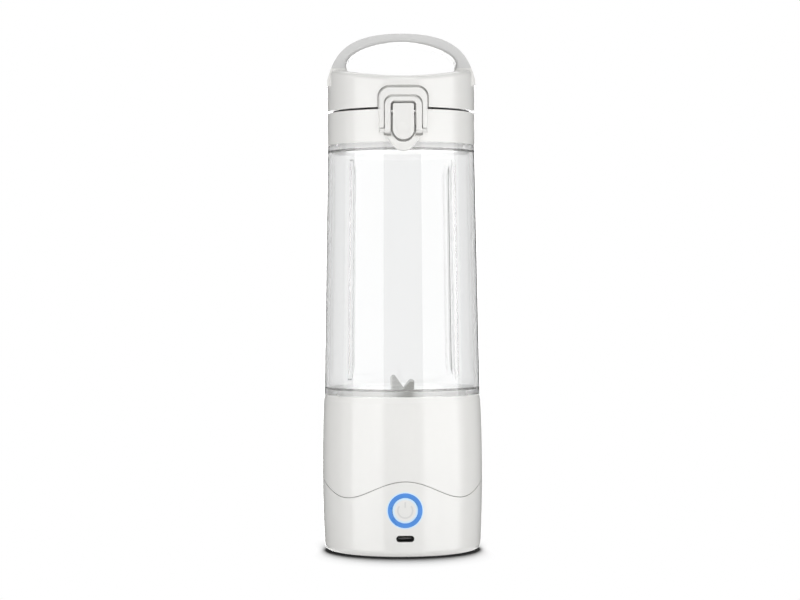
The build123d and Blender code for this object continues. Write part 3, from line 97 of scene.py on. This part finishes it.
# ---------------------------------------------------------------- material tools
class Tree:
    """A new material and short ways to add nodes to it; each gives the socket that holds its result."""

    def __init__(self, name):
        self.material = bpy.data.materials.new(name)
        self.material.use_nodes = True
        self.nodes = self.material.node_tree.nodes
        self.links = self.material.node_tree.links
        self.shader = self.nodes["Principled BSDF"]
        self.output = self.nodes["Material Output"]
        self.place = self.nodes.new("ShaderNodeTexCoord").outputs["Object"]
        self.base = None

    def link(self, source, target):
        self.links.new(source, target)

    def axes(self):
        node = self.nodes.new("ShaderNodeSeparateXYZ")
        self.link(self.place, node.inputs["Vector"])
        return node.outputs["X"], node.outputs["Y"], node.outputs["Z"]

    def stretched(self, scale):
        """Object coordinates with each axis scaled by itself."""
        node = self.nodes.new("ShaderNodeMapping")
        node.inputs["Scale"].default_value = scale
        self.link(self.place, node.inputs["Vector"])
        return node.outputs["Vector"]

    def noise(self, scale, detail=2.0, place=None):
        node = self.nodes.new("ShaderNodeTexNoise")
        node.inputs["Scale"].default_value = scale
        node.inputs["Detail"].default_value = detail
        self.link(place or self.place, node.inputs["Vector"])
        return node.outputs["Fac"]

    def cell_borders(self, scale, place):
        """The distance to the nearest border between random cells."""
        node = self.nodes.new("ShaderNodeTexVoronoi")
        node.feature = "DISTANCE_TO_EDGE"
        node.inputs["Scale"].default_value = scale
        self.link(place, node.inputs["Vector"])
        return node.outputs["Distance"]

    def math(self, operation, *values):
        """One operation on numbers and sockets."""
        node = self.nodes.new("ShaderNodeMath")
        node.operation = operation
        for socket, value in zip(node.inputs, values):
            if isinstance(value, (int, float)):
                socket.default_value = value
            else:
                self.link(value, socket)
        return node.outputs["Value"]

    def length(self, first, second):
        """The length of a vector with these two parts."""
        squares = [self.math("MULTIPLY", part, part) for part in (first, second)]
        return self.math("SQRT", self.math("ADD", *squares))

    def remap(self, value, low, high, to_low, to_high, smooth=False):
        node = self.nodes.new("ShaderNodeMapRange")
        node.interpolation_type = "SMOOTHSTEP" if smooth else "LINEAR"
        for name, number in (
            ("From Min", low), ("From Max", high), ("To Min", to_low), ("To Max", to_high)
        ):
            node.inputs[name].default_value = number
        self.link(value, node.inputs["Value"])
        return node.outputs["Result"]

    def blend(self, share, first, second):
        """A colour between first and second, which are colours or sockets."""
        node = self.nodes.new("ShaderNodeMix")
        node.data_type = "RGBA"
        self.link(share, node.inputs["Factor"])
        for name, colour in (("A", first), ("B", second)):
            socket = [s for s in node.inputs if s.name == name and s.type == "RGBA"][0]
            if isinstance(colour, tuple):
                socket.default_value = (*colour, 1)
            else:
                self.link(colour, socket)
        return [s for s in node.outputs if s.type == "RGBA"][0]

    def bump(self, height, depth, below=None):
        """Relief of that depth in metres, over the relief below it."""
        node = self.nodes.new("ShaderNodeBump")
        node.inputs["Distance"].default_value = depth
        self.link(height, node.inputs["Height"])
        if below is not None:
            self.link(below, node.inputs["Normal"])
        return node.outputs["Normal"]

    def absorb(self, colour, density):
        """Darkens what is seen through the body; density is per metre."""
        node = self.nodes.new("ShaderNodeVolumeAbsorption")
        node.inputs["Color"].default_value = (*colour, 1)
        node.inputs["Density"].default_value = density
        self.link(node.outputs["Volume"], self.output.inputs["Volume"])

    def pass_shadow_rays(self, colour, share):
        """Lets lamps shine through a clear body onto what is inside it, where the share is 1."""
        paths = self.nodes.new("ShaderNodeLightPath")
        passing = self.nodes.new("ShaderNodeBsdfTransparent")
        self.link(self.blend(share, (0.0, 0.0, 0.0), colour), passing.inputs["Color"])
        mix = self.nodes.new("ShaderNodeMixShader")
        self.link(paths.outputs["Is Shadow Ray"], mix.inputs["Fac"])
        self.link(self.shader.outputs["BSDF"], mix.inputs[1])
        self.link(passing.outputs["BSDF"], mix.inputs[2])
        self.link(mix.outputs["Shader"], self.output.inputs["Surface"])


def shade(colour, amount):
    return tuple(min(1.0, channel * amount) for channel in colour)


def moulded(
    name,
    colour,
    tint=0.02,
    tint_scale=45.0,
    gloss=(0.3, 0.4),
    gloss_scale=240.0,
    grain_scale=2200.0,
    grain_depth=1.2e-5,
    sink_depth=0.0,
    stretch=(1, 1, 1),
    **sockets,
):
    """A solid finish: slow colour drift, uneven gloss, fine grain, and sink marks if asked for."""
    tree = Tree(name)
    place = tree.stretched(stretch)
    drift = tree.noise(tint_scale, 3.0, place)
    tree.base = tree.blend(drift, shade(colour, 1 - tint), shade(colour, 1 + tint))
    tree.link(tree.base, tree.shader.inputs["Base Color"])
    sheen = tree.noise(gloss_scale, 3.0, place)
    tree.link(tree.remap(sheen, 0.3, 0.7, *gloss), tree.shader.inputs["Roughness"])
    relief = None
    if sink_depth:
        relief = tree.bump(tree.noise(28.0, 1.0), sink_depth)
    relief = tree.bump(tree.noise(grain_scale, 2.0, place), grain_depth, relief)
    tree.link(relief, tree.shader.inputs["Normal"])
    for socket, value in sockets.items():
        tree.shader.inputs[socket.replace("_", " ")].default_value = value
    return tree


# ---------------------------------------------------------------- the record's finishes
WHITE = (0.755, 0.75, 0.732)
HANDLE = (0.60, 0.60, 0.595)


def lit_shell(name, colour, **finish):
    """Shell plastic with a painted blue glow round the light ring: the ring's light, leaking into the
    plastic, is painted into the base colour.
    """
    painted_glow_colour = (0.55, 0.78, 0.98)
    inner_fade, outer_fade = 1.5 * MM, 0.9 * MM
    front_y = -20 * MM
    tree = moulded(name, colour, **finish)
    x, y, z = tree.axes()
    reach = tree.length(x, tree.math("SUBTRACT", z, BUTTON_Z))
    inside = tree.remap(reach, KEY_RADIUS - inner_fade, KEY_RADIUS, 0.0, 1.0, smooth=True)
    outside = tree.remap(reach, RING_OUTER, RING_OUTER + outer_fade, 1.0, 0.0, smooth=True)
    front = tree.math("LESS_THAN", y, front_y)
    painted_glow = tree.math("MULTIPLY", tree.math("MULTIPLY", inside, outside), front)
    # Painted glow: the base colour turns blue in a thin band round the ring, on the front only.
    tree.link(tree.blend(painted_glow, tree.base, painted_glow_colour), tree.shader.inputs["Base Color"])
    return tree


def cup_bore():
    """The radius of the cup's bore at z = 0 and how it grows with z, read between the ribs."""
    skin = surface_of("cup")
    low, high = (CUP_LOW + share * (CUP_HIGH - CUP_LOW) for share in (0.35, 0.7))
    at_low, at_high = (
        abs(skin.ray_cast(Vector((0, 0, z)), Vector((0, -1, 0)))[0].y) for z in (low, high)
    )
    growth = (at_high - at_low) / (high - low)
    return at_low - growth * low, growth


def on_necks(tree, z):
    """One on the cup's two necks, inside the collar and the base; a little of the wall counts too."""
    margin = 0.6 * MM
    middle = (WALL_HIGH + WALL_LOW) / 2
    from_middle = tree.math("ABSOLUTE", tree.math("SUBTRACT", z, middle))
    return tree.math("GREATER_THAN", from_middle, WALL_HIGH - middle - margin)


def off_ribs(tree, x, y):
    """One away from the cup's four ribs, which stand at 45 degrees to the axes."""
    rib_side = -0.75
    turned = tree.math("COSINE", tree.math("MULTIPLY", tree.math("ARCTAN2", y, x), 4.0))
    return tree.math("GREATER_THAN", turned, rib_side)


def clear_plastic():
    """Clear copolyester, faintly grey in its depth, with fine scuffs, and ribs left satin; at the necks
    it is nearly clear, painted light that lifts the shade seen through them.
    """
    tree = Tree("clear_cup")
    x, y, z = tree.axes()
    neck = on_necks(tree, z)
    clear = tree.blend(tree.noise(30.0, 2.0), (0.945, 0.95, 0.95), (0.96, 0.96, 0.96))
    # Painted light: the necks are left nearly clear, so the shaded collar and socket seen through them
    # show lighter.
    tree.link(tree.blend(neck, clear, (0.995, 0.995, 0.995)), tree.shader.inputs["Base Color"])
    start, growth = cup_bore()
    bore = tree.math("ADD", tree.math("MULTIPLY", z, growth), start)
    proud = tree.math("SUBTRACT", bore, tree.length(x, y))
    satin = tree.remap(proud, 0.06 * MM, 0.35 * MM, 0.0, 0.5)
    scuff = tree.noise(900.0, 4.0, tree.stretched((1, 1, 0.08)))
    polish = tree.remap(scuff, 0.45, 0.8, 0.015, 0.025)
    tree.link(tree.math("ADD", polish, satin), tree.shader.inputs["Roughness"])
    tree.shader.inputs["Transmission Weight"].default_value = 1.0
    tree.shader.inputs["IOR"].default_value = 1.3
    tree.shader.inputs["Coat Weight"].default_value = 0.6
    tree.shader.inputs["Coat Roughness"].default_value = 0.04
    tree.absorb((0.5, 0.5, 0.49), 18.0)
    tree.pass_shadow_rays((0.95, 0.95, 0.95), tree.math("MAXIMUM", off_ribs(tree, x, y), neck))
    return tree


def light_guide():
    """Milky blue guide, a little brighter over each of the LEDs behind it."""
    leds = 4
    tree = moulded("light_guide", (0.035, 0.12, 0.33), tint=0.05, tint_scale=300, gloss=(0.25, 0.35))
    x, _, z = tree.axes()
    angle = tree.math("ARCTAN2", tree.math("SUBTRACT", z, BUTTON_Z), x)
    spots = tree.math("COSINE", tree.math("MULTIPLY", angle, leds))
    grain = tree.math("MULTIPLY", tree.noise(500.0), 0.12)
    level = tree.math("ADD", tree.remap(spots, -1, 1, 0.86, 1.0), grain)
    tree.link(level, tree.shader.inputs["Emission Strength"])
    tree.shader.inputs["Emission Color"].default_value = (0.03, 0.125, 0.34, 1)
    return tree


def solder_mask():
    """Green board with paler copper tracks under the mask."""
    tree = moulded("circuit_board", (0.02, 0.16, 0.07), tint=0.08, gloss=(0.28, 0.4))
    tracks = tree.cell_borders(420.0, tree.stretched((1, 1, 0.2)))
    lines = tree.remap(tracks, 0.03, 0.06, 1.0, 0.0)
    tree.link(tree.blend(lines, tree.base, (0.05, 0.30, 0.12)), tree.shader.inputs["Base Color"])
    return tree


finishes = {
    "shell_plastic": lit_shell(
        "shell_white", WHITE, tint=0.012, gloss=(0.15, 0.20), sink_depth=1e-5, grain_depth=1.2e-6
    ),
    "handle_plastic": moulded(
        "handle_grey", HANDLE, tint=0.015, gloss=(0.36, 0.46), grain_scale=1600, grain_depth=6e-6
    ),
    "silicone": moulded(
        "silicone", (0.80, 0.80, 0.79), tint=0.04, gloss=(0.5, 0.65), grain_scale=900, grain_depth=2e-5
    ),
    "foot_rubber": moulded(
        "foot_rubber", (0.10, 0.10, 0.10), tint=0.10, gloss=(0.65, 0.85), grain_scale=1400,
        grain_depth=6e-5,
    ),
    "steel": moulded(
        "brushed_steel", (0.62, 0.62, 0.61), tint=0.06, tint_scale=900, gloss=(0.16, 0.30),
        gloss_scale=1500, grain_scale=3200, grain_depth=5e-6, stretch=(0.06, 1, 1), Metallic=1.0,
    ),
    "screw_steel": moulded(
        "zinc_screw", (0.55, 0.55, 0.53), tint=0.10, tint_scale=500, gloss=(0.25, 0.42), Metallic=1.0
    ),
    "inner_plastic": moulded(
        "inner_plastic", (0.13, 0.13, 0.135), tint=0.06, gloss=(0.4, 0.55), grain_depth=3e-5
    ),
    "led_package": moulded(
        "led_package", (0.85, 0.80, 0.52), tint=0.05, tint_scale=900, gloss=(0.3, 0.5)
    ),
    "port_metal": moulded(
        "port_metal", (0.035, 0.035, 0.037), tint=0.10, tint_scale=600, gloss=(0.25, 0.4), Metallic=0.6
    ),
    "cell_wrap": moulded(
        "cell_wrap", (0.05, 0.22, 0.36), tint=0.05, gloss=(0.28, 0.42), grain_scale=260, grain_depth=5e-5
    ),
    "motor_steel": moulded(
        "motor_steel", (0.50, 0.50, 0.49), tint=0.07, tint_scale=300, gloss=(0.3, 0.5),
        stretch=(1, 1, 0.1), Metallic=1.0,
    ),
    "magnet_ferrite": moulded(
        "magnet_ferrite", (0.055, 0.055, 0.06), tint=0.25, tint_scale=2500, gloss=(0.5, 0.75),
        grain_depth=4e-5,
    ),
    "bronze": moulded(
        "sintered_bronze", (0.48, 0.30, 0.14), tint=0.15, tint_scale=1800, gloss=(0.35, 0.6),
        grain_depth=3e-5, Metallic=1.0,
    ),
    "clear_cup": clear_plastic(),
    "light_guide": light_guide(),
    "circuit_board": solder_mask(),
}


def finish_of(slot):
    return finishes[slot].material


for row in frame["record"]["subparts"]:
    node = frame["nodes"][row["node"]]
    node.data.materials.clear()
    node.data.materials.append(finish_of(row["material_slot"]))


# ---------------------------------------------------------------- mesh tools
def make_piece(name, mesh, body, slot, smooth_angle=None, materials=()):
    """An object in the shared frame that rides on a body, made from a bmesh, which is freed."""
    bmesh.ops.recalc_face_normals(mesh, faces=mesh.faces)
    data = bpy.data.meshes.new(name)
    mesh.to_mesh(data)
    mesh.free()
    if smooth_angle:
        data.shade_smooth()
        data.set_sharp_from_angle(angle=radians(smooth_angle))
    piece = bpy.data.objects.new(name, data)
    scene.collection.objects.link(piece)
    for material in materials or (finish_of(slot),):
        data.materials.append(material)
    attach(piece, body)
    return piece


def add_wall(mesh, first, second):
    """Faces between two closed rows of as many vertices."""
    for a in range(len(first)):
        b = (a + 1) % len(first)
        mesh.faces.new((first[a], first[b], second[b], second[a]))


def add_tube(mesh, rows):
    """A closed tube through rows of points, each row one section of it."""
    rings = [[mesh.verts.new(point) for point in row] for row in rows]
    for first, second in zip(rings, rings[1:]):
        add_wall(mesh, first, second)
    mesh.faces.new(list(reversed(rings[0])))
    mesh.faces.new(rings[-1])


def add_ridge(mesh, centre, radius, height, width, low, rise, start, span, run_out):
    """A thread ridge round an upright axis; a negative height stands inwards."""
    step_angle = radians(7)
    sunk = 0.06 * MM
    root = radius - sunk if height > 0 else radius + sunk
    x, y = centre
    steps = max(8, round(span / step_angle))
    rows = []
    for step in range(steps + 1):
        turned = span * step / steps
        swell = min(1.0, turned / run_out, (span - turned) / run_out)
        tip = radius + height * sin(swell * pi / 2)
        level = low + rise * step / steps
        across, along = cos(start + turned), sin(start + turned)
        section = ((root, -0.5), (tip, -0.2), (tip, 0.2), (root, 0.5))
        rows.append([(x + across * r, y + along * r, level + width * share) for r, share in section])
    add_tube(mesh, rows)


# ---------------------------------------------------------------- power symbol
def power_symbol():
    """Generic power mark, printed on the button: an open circle and a bar."""
    skin = surface_of("power_button")
    radius = 3.75 * MM
    width = 0.85 * MM
    print_depth = 0.03 * MM
    flat_share = 0.92
    gap = radians(52)
    bar_low, bar_length = 1.5 * MM, 2.9 * MM
    arc_steps, bar_steps = 60, 10
    mark = bmesh.new()

    def on_button(x, z, lift):
        hit = skin.ray_cast(Vector((x, -1, BUTTON_Z + z)), Vector((0, 1, 0)))
        return Vector((x, hit[0].y - lift, BUTTON_Z + z))

    def strip(points, normals):
        section = [(-1, -print_depth), (-flat_share, print_depth), (flat_share, print_depth)]
        section.append((1, -print_depth))
        rows = []
        for (x, z), (nx, nz) in zip(points, normals):
            offsets = [(side * width / 2, lift) for side, lift in section]
            rows.append([on_button(x + nx * offset, z + nz * offset, lift) for offset, lift in offsets])
        add_tube(mark, rows)

    angles = [pi / 2 + gap + (tau - 2 * gap) * step / arc_steps for step in range(arc_steps + 1)]
    strip([(cos(a) * radius, sin(a) * radius) for a in angles], [(cos(a), sin(a)) for a in angles])
    heights = [bar_low + bar_length * step / bar_steps for step in range(bar_steps + 1)]
    strip([(0, height) for height in heights], [(1, 0)] * len(heights))
    ink = moulded("symbol_ink", (0.62, 0.62, 0.61), tint=0.02, gloss=(0.4, 0.5))
    make_piece("power_symbol", mark, "button", "shell_plastic", materials=(ink.material,))


power_symbol()


# ---------------------------------------------------------------- screw threads of the cup
def thread_lugs(name, node, body, slot, low, outward):
    """Four short thread lugs on a neck or in its socket; those of a pair pass between each other."""
    count = 4
    height, width, rise = 0.45 * MM, 1.6 * MM, 1.2 * MM
    span, run_out = radians(36), radians(7)
    start = radians(5) if outward else radians(50)
    skin = surface_of(node)
    eye = Vector((-1 if outward else 0, 0, low + 0.5 * MM))
    radius = abs(skin.ray_cast(eye, Vector((1, 0, 0)))[0].x)
    mesh = bmesh.new()
    for lug in range(count):
        turn = start + lug * tau / count
        add_ridge(
            mesh, (0, 0), radius, height if outward else -height, width, low, rise, turn, span, run_out
        )
    make_piece(name, mesh, body, slot, 40)


NECK_THREAD = CUP_LOW + 4.5 * MM
LID_THREAD = CUP_HIGH - 7.0 * MM
thread_lugs("cup_foot_thread", "cup", "cup", "clear_cup", NECK_THREAD, outward=True)
thread_lugs("socket_thread", "upper_housing", "base", "shell_plastic", NECK_THREAD, outward=False)
thread_lugs("cup_mouth_thread", "cup", "cup", "clear_cup", LID_THREAD, outward=True)
thread_lugs("collar_thread", "lid_collar", "lid", "shell_plastic", LID_THREAD, outward=False)


# ---------------------------------------------------------------- screws
def shaft_places(node):
    """The axis of each solid of a node of upright screws, as x, y."""
    reach = 4.9 * MM
    groups = []
    for vertex in frame["nodes"][node].data.vertices:
        place = (vertex.co.x, vertex.co.y)
        for group in groups:
            if all(abs(place[axis] - group[0][axis]) < reach for axis in (0, 1)):
                group.append(place)
                break
        else:
            groups.append([place])
    return [tuple((min(values) + max(values)) / 2 for values in zip(*group)) for group in groups]


def add_screw(mesh, centre, face, direction, length):
    """A pan-head screw with a cross recess; direction is +1 where its shank points up."""
    head_radius, head_height, head_round = 2.4 * MM, 1.1 * MM, 0.35 * MM
    core_radius, shank_radius = 0.95 * MM, 1.2 * MM
    tip_radius, tip_length = 0.3 * MM, 1.2 * MM
    arm, half_arm = 1.35 * MM, 0.36 * MM
    recess, recess_floor = 0.75 * MM, 0.55
    pitch, ridge_width = 0.8 * MM, 0.55 * MM
    under_head, before_tip = 0.6 * MM, 1.6 * MM
    sides = 28

    def at(x, y, depth):
        return (centre[0] + x, centre[1] + y, face + direction * depth)

    def ring(radius, depth):
        turns = [tau * side / sides for side in range(sides)]
        return [mesh.verts.new(at(cos(turn) * radius, sin(turn) * radius, depth)) for turn in turns]

    def cross(scale, depth):
        corner = [(arm, -half_arm), (arm, half_arm), (half_arm, half_arm)]
        outline = []
        for quarter in range(4):
            turn = Matrix.Rotation(quarter * pi / 2, 2)
            outline += [turn @ Vector(point) for point in corner]
        return [mesh.verts.new(at(x * scale, y * scale, depth)) for x, y in outline]

    profile = [
        (head_radius - head_round, 0.0),
        (head_radius, 0.3 * MM),
        (head_radius, head_height),
        (core_radius, head_height),
        (core_radius, length - tip_length),
        (tip_radius, length),
    ]
    rings = [ring(radius, depth) for radius, depth in profile]
    for first, second in zip(rings, rings[1:]):
        add_wall(mesh, first, second)
    mesh.faces.new(rings[-1])
    rim = cross(1.0, 0.0)
    pit = cross(recess_floor, recess)
    add_wall(mesh, rim, pit)
    mesh.faces.new(pit)
    border = []
    for outline in (rings[0], rim):
        pairs = zip(outline, outline[1:] + outline[:1])
        border += [mesh.edges.get(pair) for pair in pairs]
    bmesh.ops.triangle_fill(mesh, use_beauty=True, edges=border)
    turns = int((length - head_height - under_head - before_tip) / pitch)
    low = face + direction * (head_height + under_head)
    add_ridge(
        mesh, centre, core_radius, shank_radius - core_radius, ridge_width,
        low, direction * turns * pitch, 0.0, turns * tau, radians(60),
    )


def screws(name, node, body, direction):
    """Stands in for a node of plain screws, in the same places."""
    low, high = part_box(node)
    face = low.z if direction > 0 else high.z
    mesh = bmesh.new()
    for centre in shaft_places(node):
        add_screw(mesh, centre, face, direction, high.z - low.z)
    piece = make_piece(name, mesh, body, "screw_steel", 35)
    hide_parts(node)


screws("cross_head_cover_screws", "cover_screws", "base", 1)
screws("cross_head_plate_screws", "plate_screws", "base", 1)
screws("cross_head_motor_screws", "motor_screws", "base", -1)


# ---------------------------------------------------------------- blades
ground_steel = moulded(
    "ground_steel", (0.74, 0.74, 0.73), tint=0.05, tint_scale=1200, gloss=(0.10, 0.2),
    gloss_scale=2500, grain_scale=4200, grain_depth=4e-6, stretch=(1, 0.06, 1), Metallic=1.0,
)


def ground_blade(name, node, arm_axis):
    """The bent blade with its leading upper edges ground off; it turns anticlockwise."""
    grind = 1.0 * MM
    hub_reach = 7.5 * MM
    shortest = 5 * MM
    edge_slack = 0.1 * MM
    facing_up = 0.5
    mesh = bmesh.new()
    mesh.from_mesh(frame["nodes"][node].data)
    bmesh.ops.remove_doubles(mesh, verts=mesh.verts, dist=1e-6)
    bmesh.ops.dissolve_limit(mesh, angle_limit=radians(1), verts=mesh.verts, edges=mesh.edges)
    low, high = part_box(node)
    half_width = (high.x - low.x if arm_axis == 1 else high.y - low.y) / 2

    def leads(edge):
        middle = (edge.verts[0].co + edge.verts[1].co) / 2
        outwards = Vector((0, 0, 0))
        outwards[arm_axis] = 1 if middle[arm_axis] > 0 else -1
        ahead = Vector((0, 0, 1)).cross(outwards)
        return (
            all(v.co.dot(ahead) > half_width - edge_slack for v in edge.verts)
            and all(v.co.dot(outwards) > hub_reach for v in edge.verts)
            and any(face.normal.z > facing_up for face in edge.link_faces)
            and edge.calc_length() > shortest
        )

    leading = [edge for edge in mesh.edges if leads(edge)]
    cut = bmesh.ops.bevel(mesh, geom=leading, offset=grind, segments=1, affect="EDGES", profile=0.5)
    for face in cut["faces"]:
        face.material_index = 1
    looks = (finish_of("steel"), ground_steel.material)
    piece = make_piece(name, mesh, "rotor", "steel", materials=looks)
    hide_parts(node)


ground_blade("ground_sweep_blade", "sweep_blade", 0)
ground_blade("ground_wing_blade", "wing_blade", 1)


# ---------------------------------------------------------------- contacts in the charging port
def port_contacts():
    """Gold contacts on both faces of the port's tongue."""
    count = 12
    half_width = 0.16 * MM
    proud = 0.03 * MM
    start, full, end = 0.5 * MM, 0.7 * MM, 3.2 * MM
    tip_share = 0.6
    section = ((-1, -1), (-0.8, 1), (0.8, 1), (1, -1))
    low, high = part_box("usb_tongue")
    pitch = (high.x - low.x) / (count + 1)
    mesh = bmesh.new()
    for side, level in ((-1, low.z), (1, high.z)):
        for contact in range(count):
            x = low.x + pitch * (contact + 1)
            rows = []
            for along, share in ((start, tip_share), (full, 1.0), (end, 1.0)):
                y = low.y + along
                rows.append(
                    [(x + a * share * half_width, y, level + side * lift * proud) for a, lift in section]
                )
            add_tube(mesh, rows)
    gold = moulded(
        "contact_gold", (0.83, 0.58, 0.22), tint=0.05, tint_scale=900, gloss=(0.15, 0.3), Metallic=1.0
    )
    make_piece("port_contacts", mesh, "base", "port_metal", materials=(gold.material,))


port_contacts()


# ---------------------------------------------------------------- floor, background and light
def background_rays(nodes, links):
    """One for the rays that show the background: seen directly, in gloss or through the cup."""
    paths = nodes.new("ShaderNodeLightPath")
    shown = paths.outputs["Is Camera Ray"]
    for kind in ("Is Glossy Ray", "Is Transmission Ray"):
        either = nodes.new("ShaderNodeMath")
        either.operation = "MAXIMUM"
        links.new(shown, either.inputs[0])
        links.new(paths.outputs[kind], either.inputs[1])
        shown = either.outputs["Value"]
    return shown


def make_world(ambient):
    """White where it is seen, and a weak light from all round."""
    world = bpy.data.worlds.new("studio")
    world.use_nodes = True
    nodes = world.node_tree.nodes
    links = world.node_tree.links
    level = nodes.new("ShaderNodeMapRange")
    level.inputs["To Min"].default_value = ambient
    level.inputs["To Max"].default_value = 1.0
    links.new(background_rays(nodes, links), level.inputs["Value"])
    links.new(level.outputs["Result"], nodes["Background"].inputs["Strength"])
    nodes["Background"].inputs["Color"].default_value = (1, 1, 1, 1)
    scene.world = world


def stage_plane(name, half_width, half_height, material):
    mesh = bpy.data.meshes.new(name)
    corners = [(-half_width, -half_height, 0), (half_width, -half_height, 0)]
    corners += [(half_width, half_height, 0), (-half_width, half_height, 0)]
    mesh.from_pydata(corners, [], [(0, 1, 2, 3)])
    mesh.materials.append(material)
    plane = bpy.data.objects.new(name, mesh)
    scene.collection.objects.link(plane)
    return plane


def make_floor():
    """Pale floor with a painted shadow where the base meets it, that runs out into the white of the
    background.
    """
    half_size = 6.0
    shadow_start = 40.5 * MM
    side_spread, front_spread = 5 * MM, 42 * MM
    painted_shadow_reach = 0.7
    tree = Tree("floor")
    x, y, _ = tree.axes()
    reach = tree.length(x, y)
    ahead = tree.math("POWER", tree.math("DIVIDE", y, reach), 2.0)
    spread = tree.remap(ahead, 0.0, 1.0, side_spread, front_spread)
    out = tree.math("DIVIDE", tree.math("SUBTRACT", reach, shadow_start), spread)
    away = tree.remap(out, 0.0, 1.0, 0.0, 1.0, smooth=True)
    # Painted contact shadow: the floor's colour darkens towards the base's foot, reaching farther along y
    # than along x.
    painted_shadow_fade = tree.math("POWER", tree.remap(out, 0.0, painted_shadow_reach, 1.0, 0.0), 2.0)
    shown = background_rays(tree.nodes, tree.links)
    white = tree.math("MULTIPLY", away, shown)
    # The painted shadow darkens the floor's colour only for the rays that show the background.
    contact = tree.math("MULTIPLY", painted_shadow_fade, shown)
    pale = tree.blend(tree.noise(40.0), (0.90, 0.90, 0.90), (0.92, 0.92, 0.92))
    shadowed = tree.blend(contact, pale, (0.06, 0.06, 0.06))
    tree.link(tree.blend(white, shadowed, (0.0, 0.0, 0.0)), tree.shader.inputs["Base Color"])
    tree.link(white, tree.shader.inputs["Emission Strength"])
    tree.shader.inputs["Emission Color"].default_value = (1, 1, 1, 1)
    tree.shader.inputs["Specular IOR Level"].default_value = 0.0
    tree.link(tree.remap(tree.noise(200.0), 0.3, 0.7, 0.45, 0.55), tree.shader.inputs["Roughness"])
    floor = stage_plane("floor", half_size, half_size, tree.material)
    floor.visible_glossy = False


def facing(azimuth, height, distance, aim_height):
    """A frame at that place whose -Z looks at the axis; azimuth is from the front, to the right."""
    turn = radians(azimuth)
    place = Vector((sin(turn) * distance, -cos(turn) * distance, height))
    aim = (Vector((0, 0, aim_height)) - place).to_track_quat("-Z", "Y")
    return Matrix.Translation(place) @ aim.to_matrix().to_4x4()


def softbox(name, azimuth, height, distance, width, tall, radiance):
    """A lamp of that size and brightness; a low one is level, a high one looks down at the object."""
    highest_aim = 0.17
    data = bpy.data.lights.new(name, "AREA")
    data.shape = "RECTANGLE"
    data.size = width
    data.size_y = tall
    data.energy = radiance * pi * width * tall
    lamp = bpy.data.objects.new(name, data)
    scene.collection.objects.link(lamp)
    lamp.matrix_world = facing(azimuth, height, distance, min(height, highest_aim))
    lamp.visible_camera = False
    lamp.visible_transmission = False


def flag(name, azimuth):
    """A dark card behind the object that shows only in gloss, and gives white plastic its edges."""
    half_width, half_height = 0.44, 0.5
    height, distance = 0.3, 0.6
    tree = moulded("flag_cloth", (0.03, 0.03, 0.03), gloss=(0.8, 0.9))
    card = stage_plane(name, half_width, half_height, tree.material)
    card.matrix_world = facing(azimuth, height, distance, height)
    card.visible_camera = False
    card.visible_diffuse = False
    card.visible_transmission = False
    card.visible_shadow = False


make_world(ambient=0.19)
make_floor()
softbox("softbox_left", azimuth=-52, height=0.07, distance=0.5, width=0.45, tall=0.52, radiance=2.6)
softbox("softbox_right", azimuth=57, height=0.07, distance=0.5, width=0.55, tall=0.52, radiance=2.5)
softbox("softbox_back", azimuth=180, height=0.07, distance=0.9, width=0.40, tall=0.52, radiance=5.0)
softbox("softbox_top", azimuth=180, height=0.9, distance=0.45, width=0.8, tall=0.8, radiance=1.5)
softbox("softbox_front", azimuth=0, height=0.85, distance=0.65, width=0.5, tall=0.5, radiance=3.4)
flag("flag_left", -132)
flag("flag_right", 132)

scene.view_settings.view_transform = "Standard"
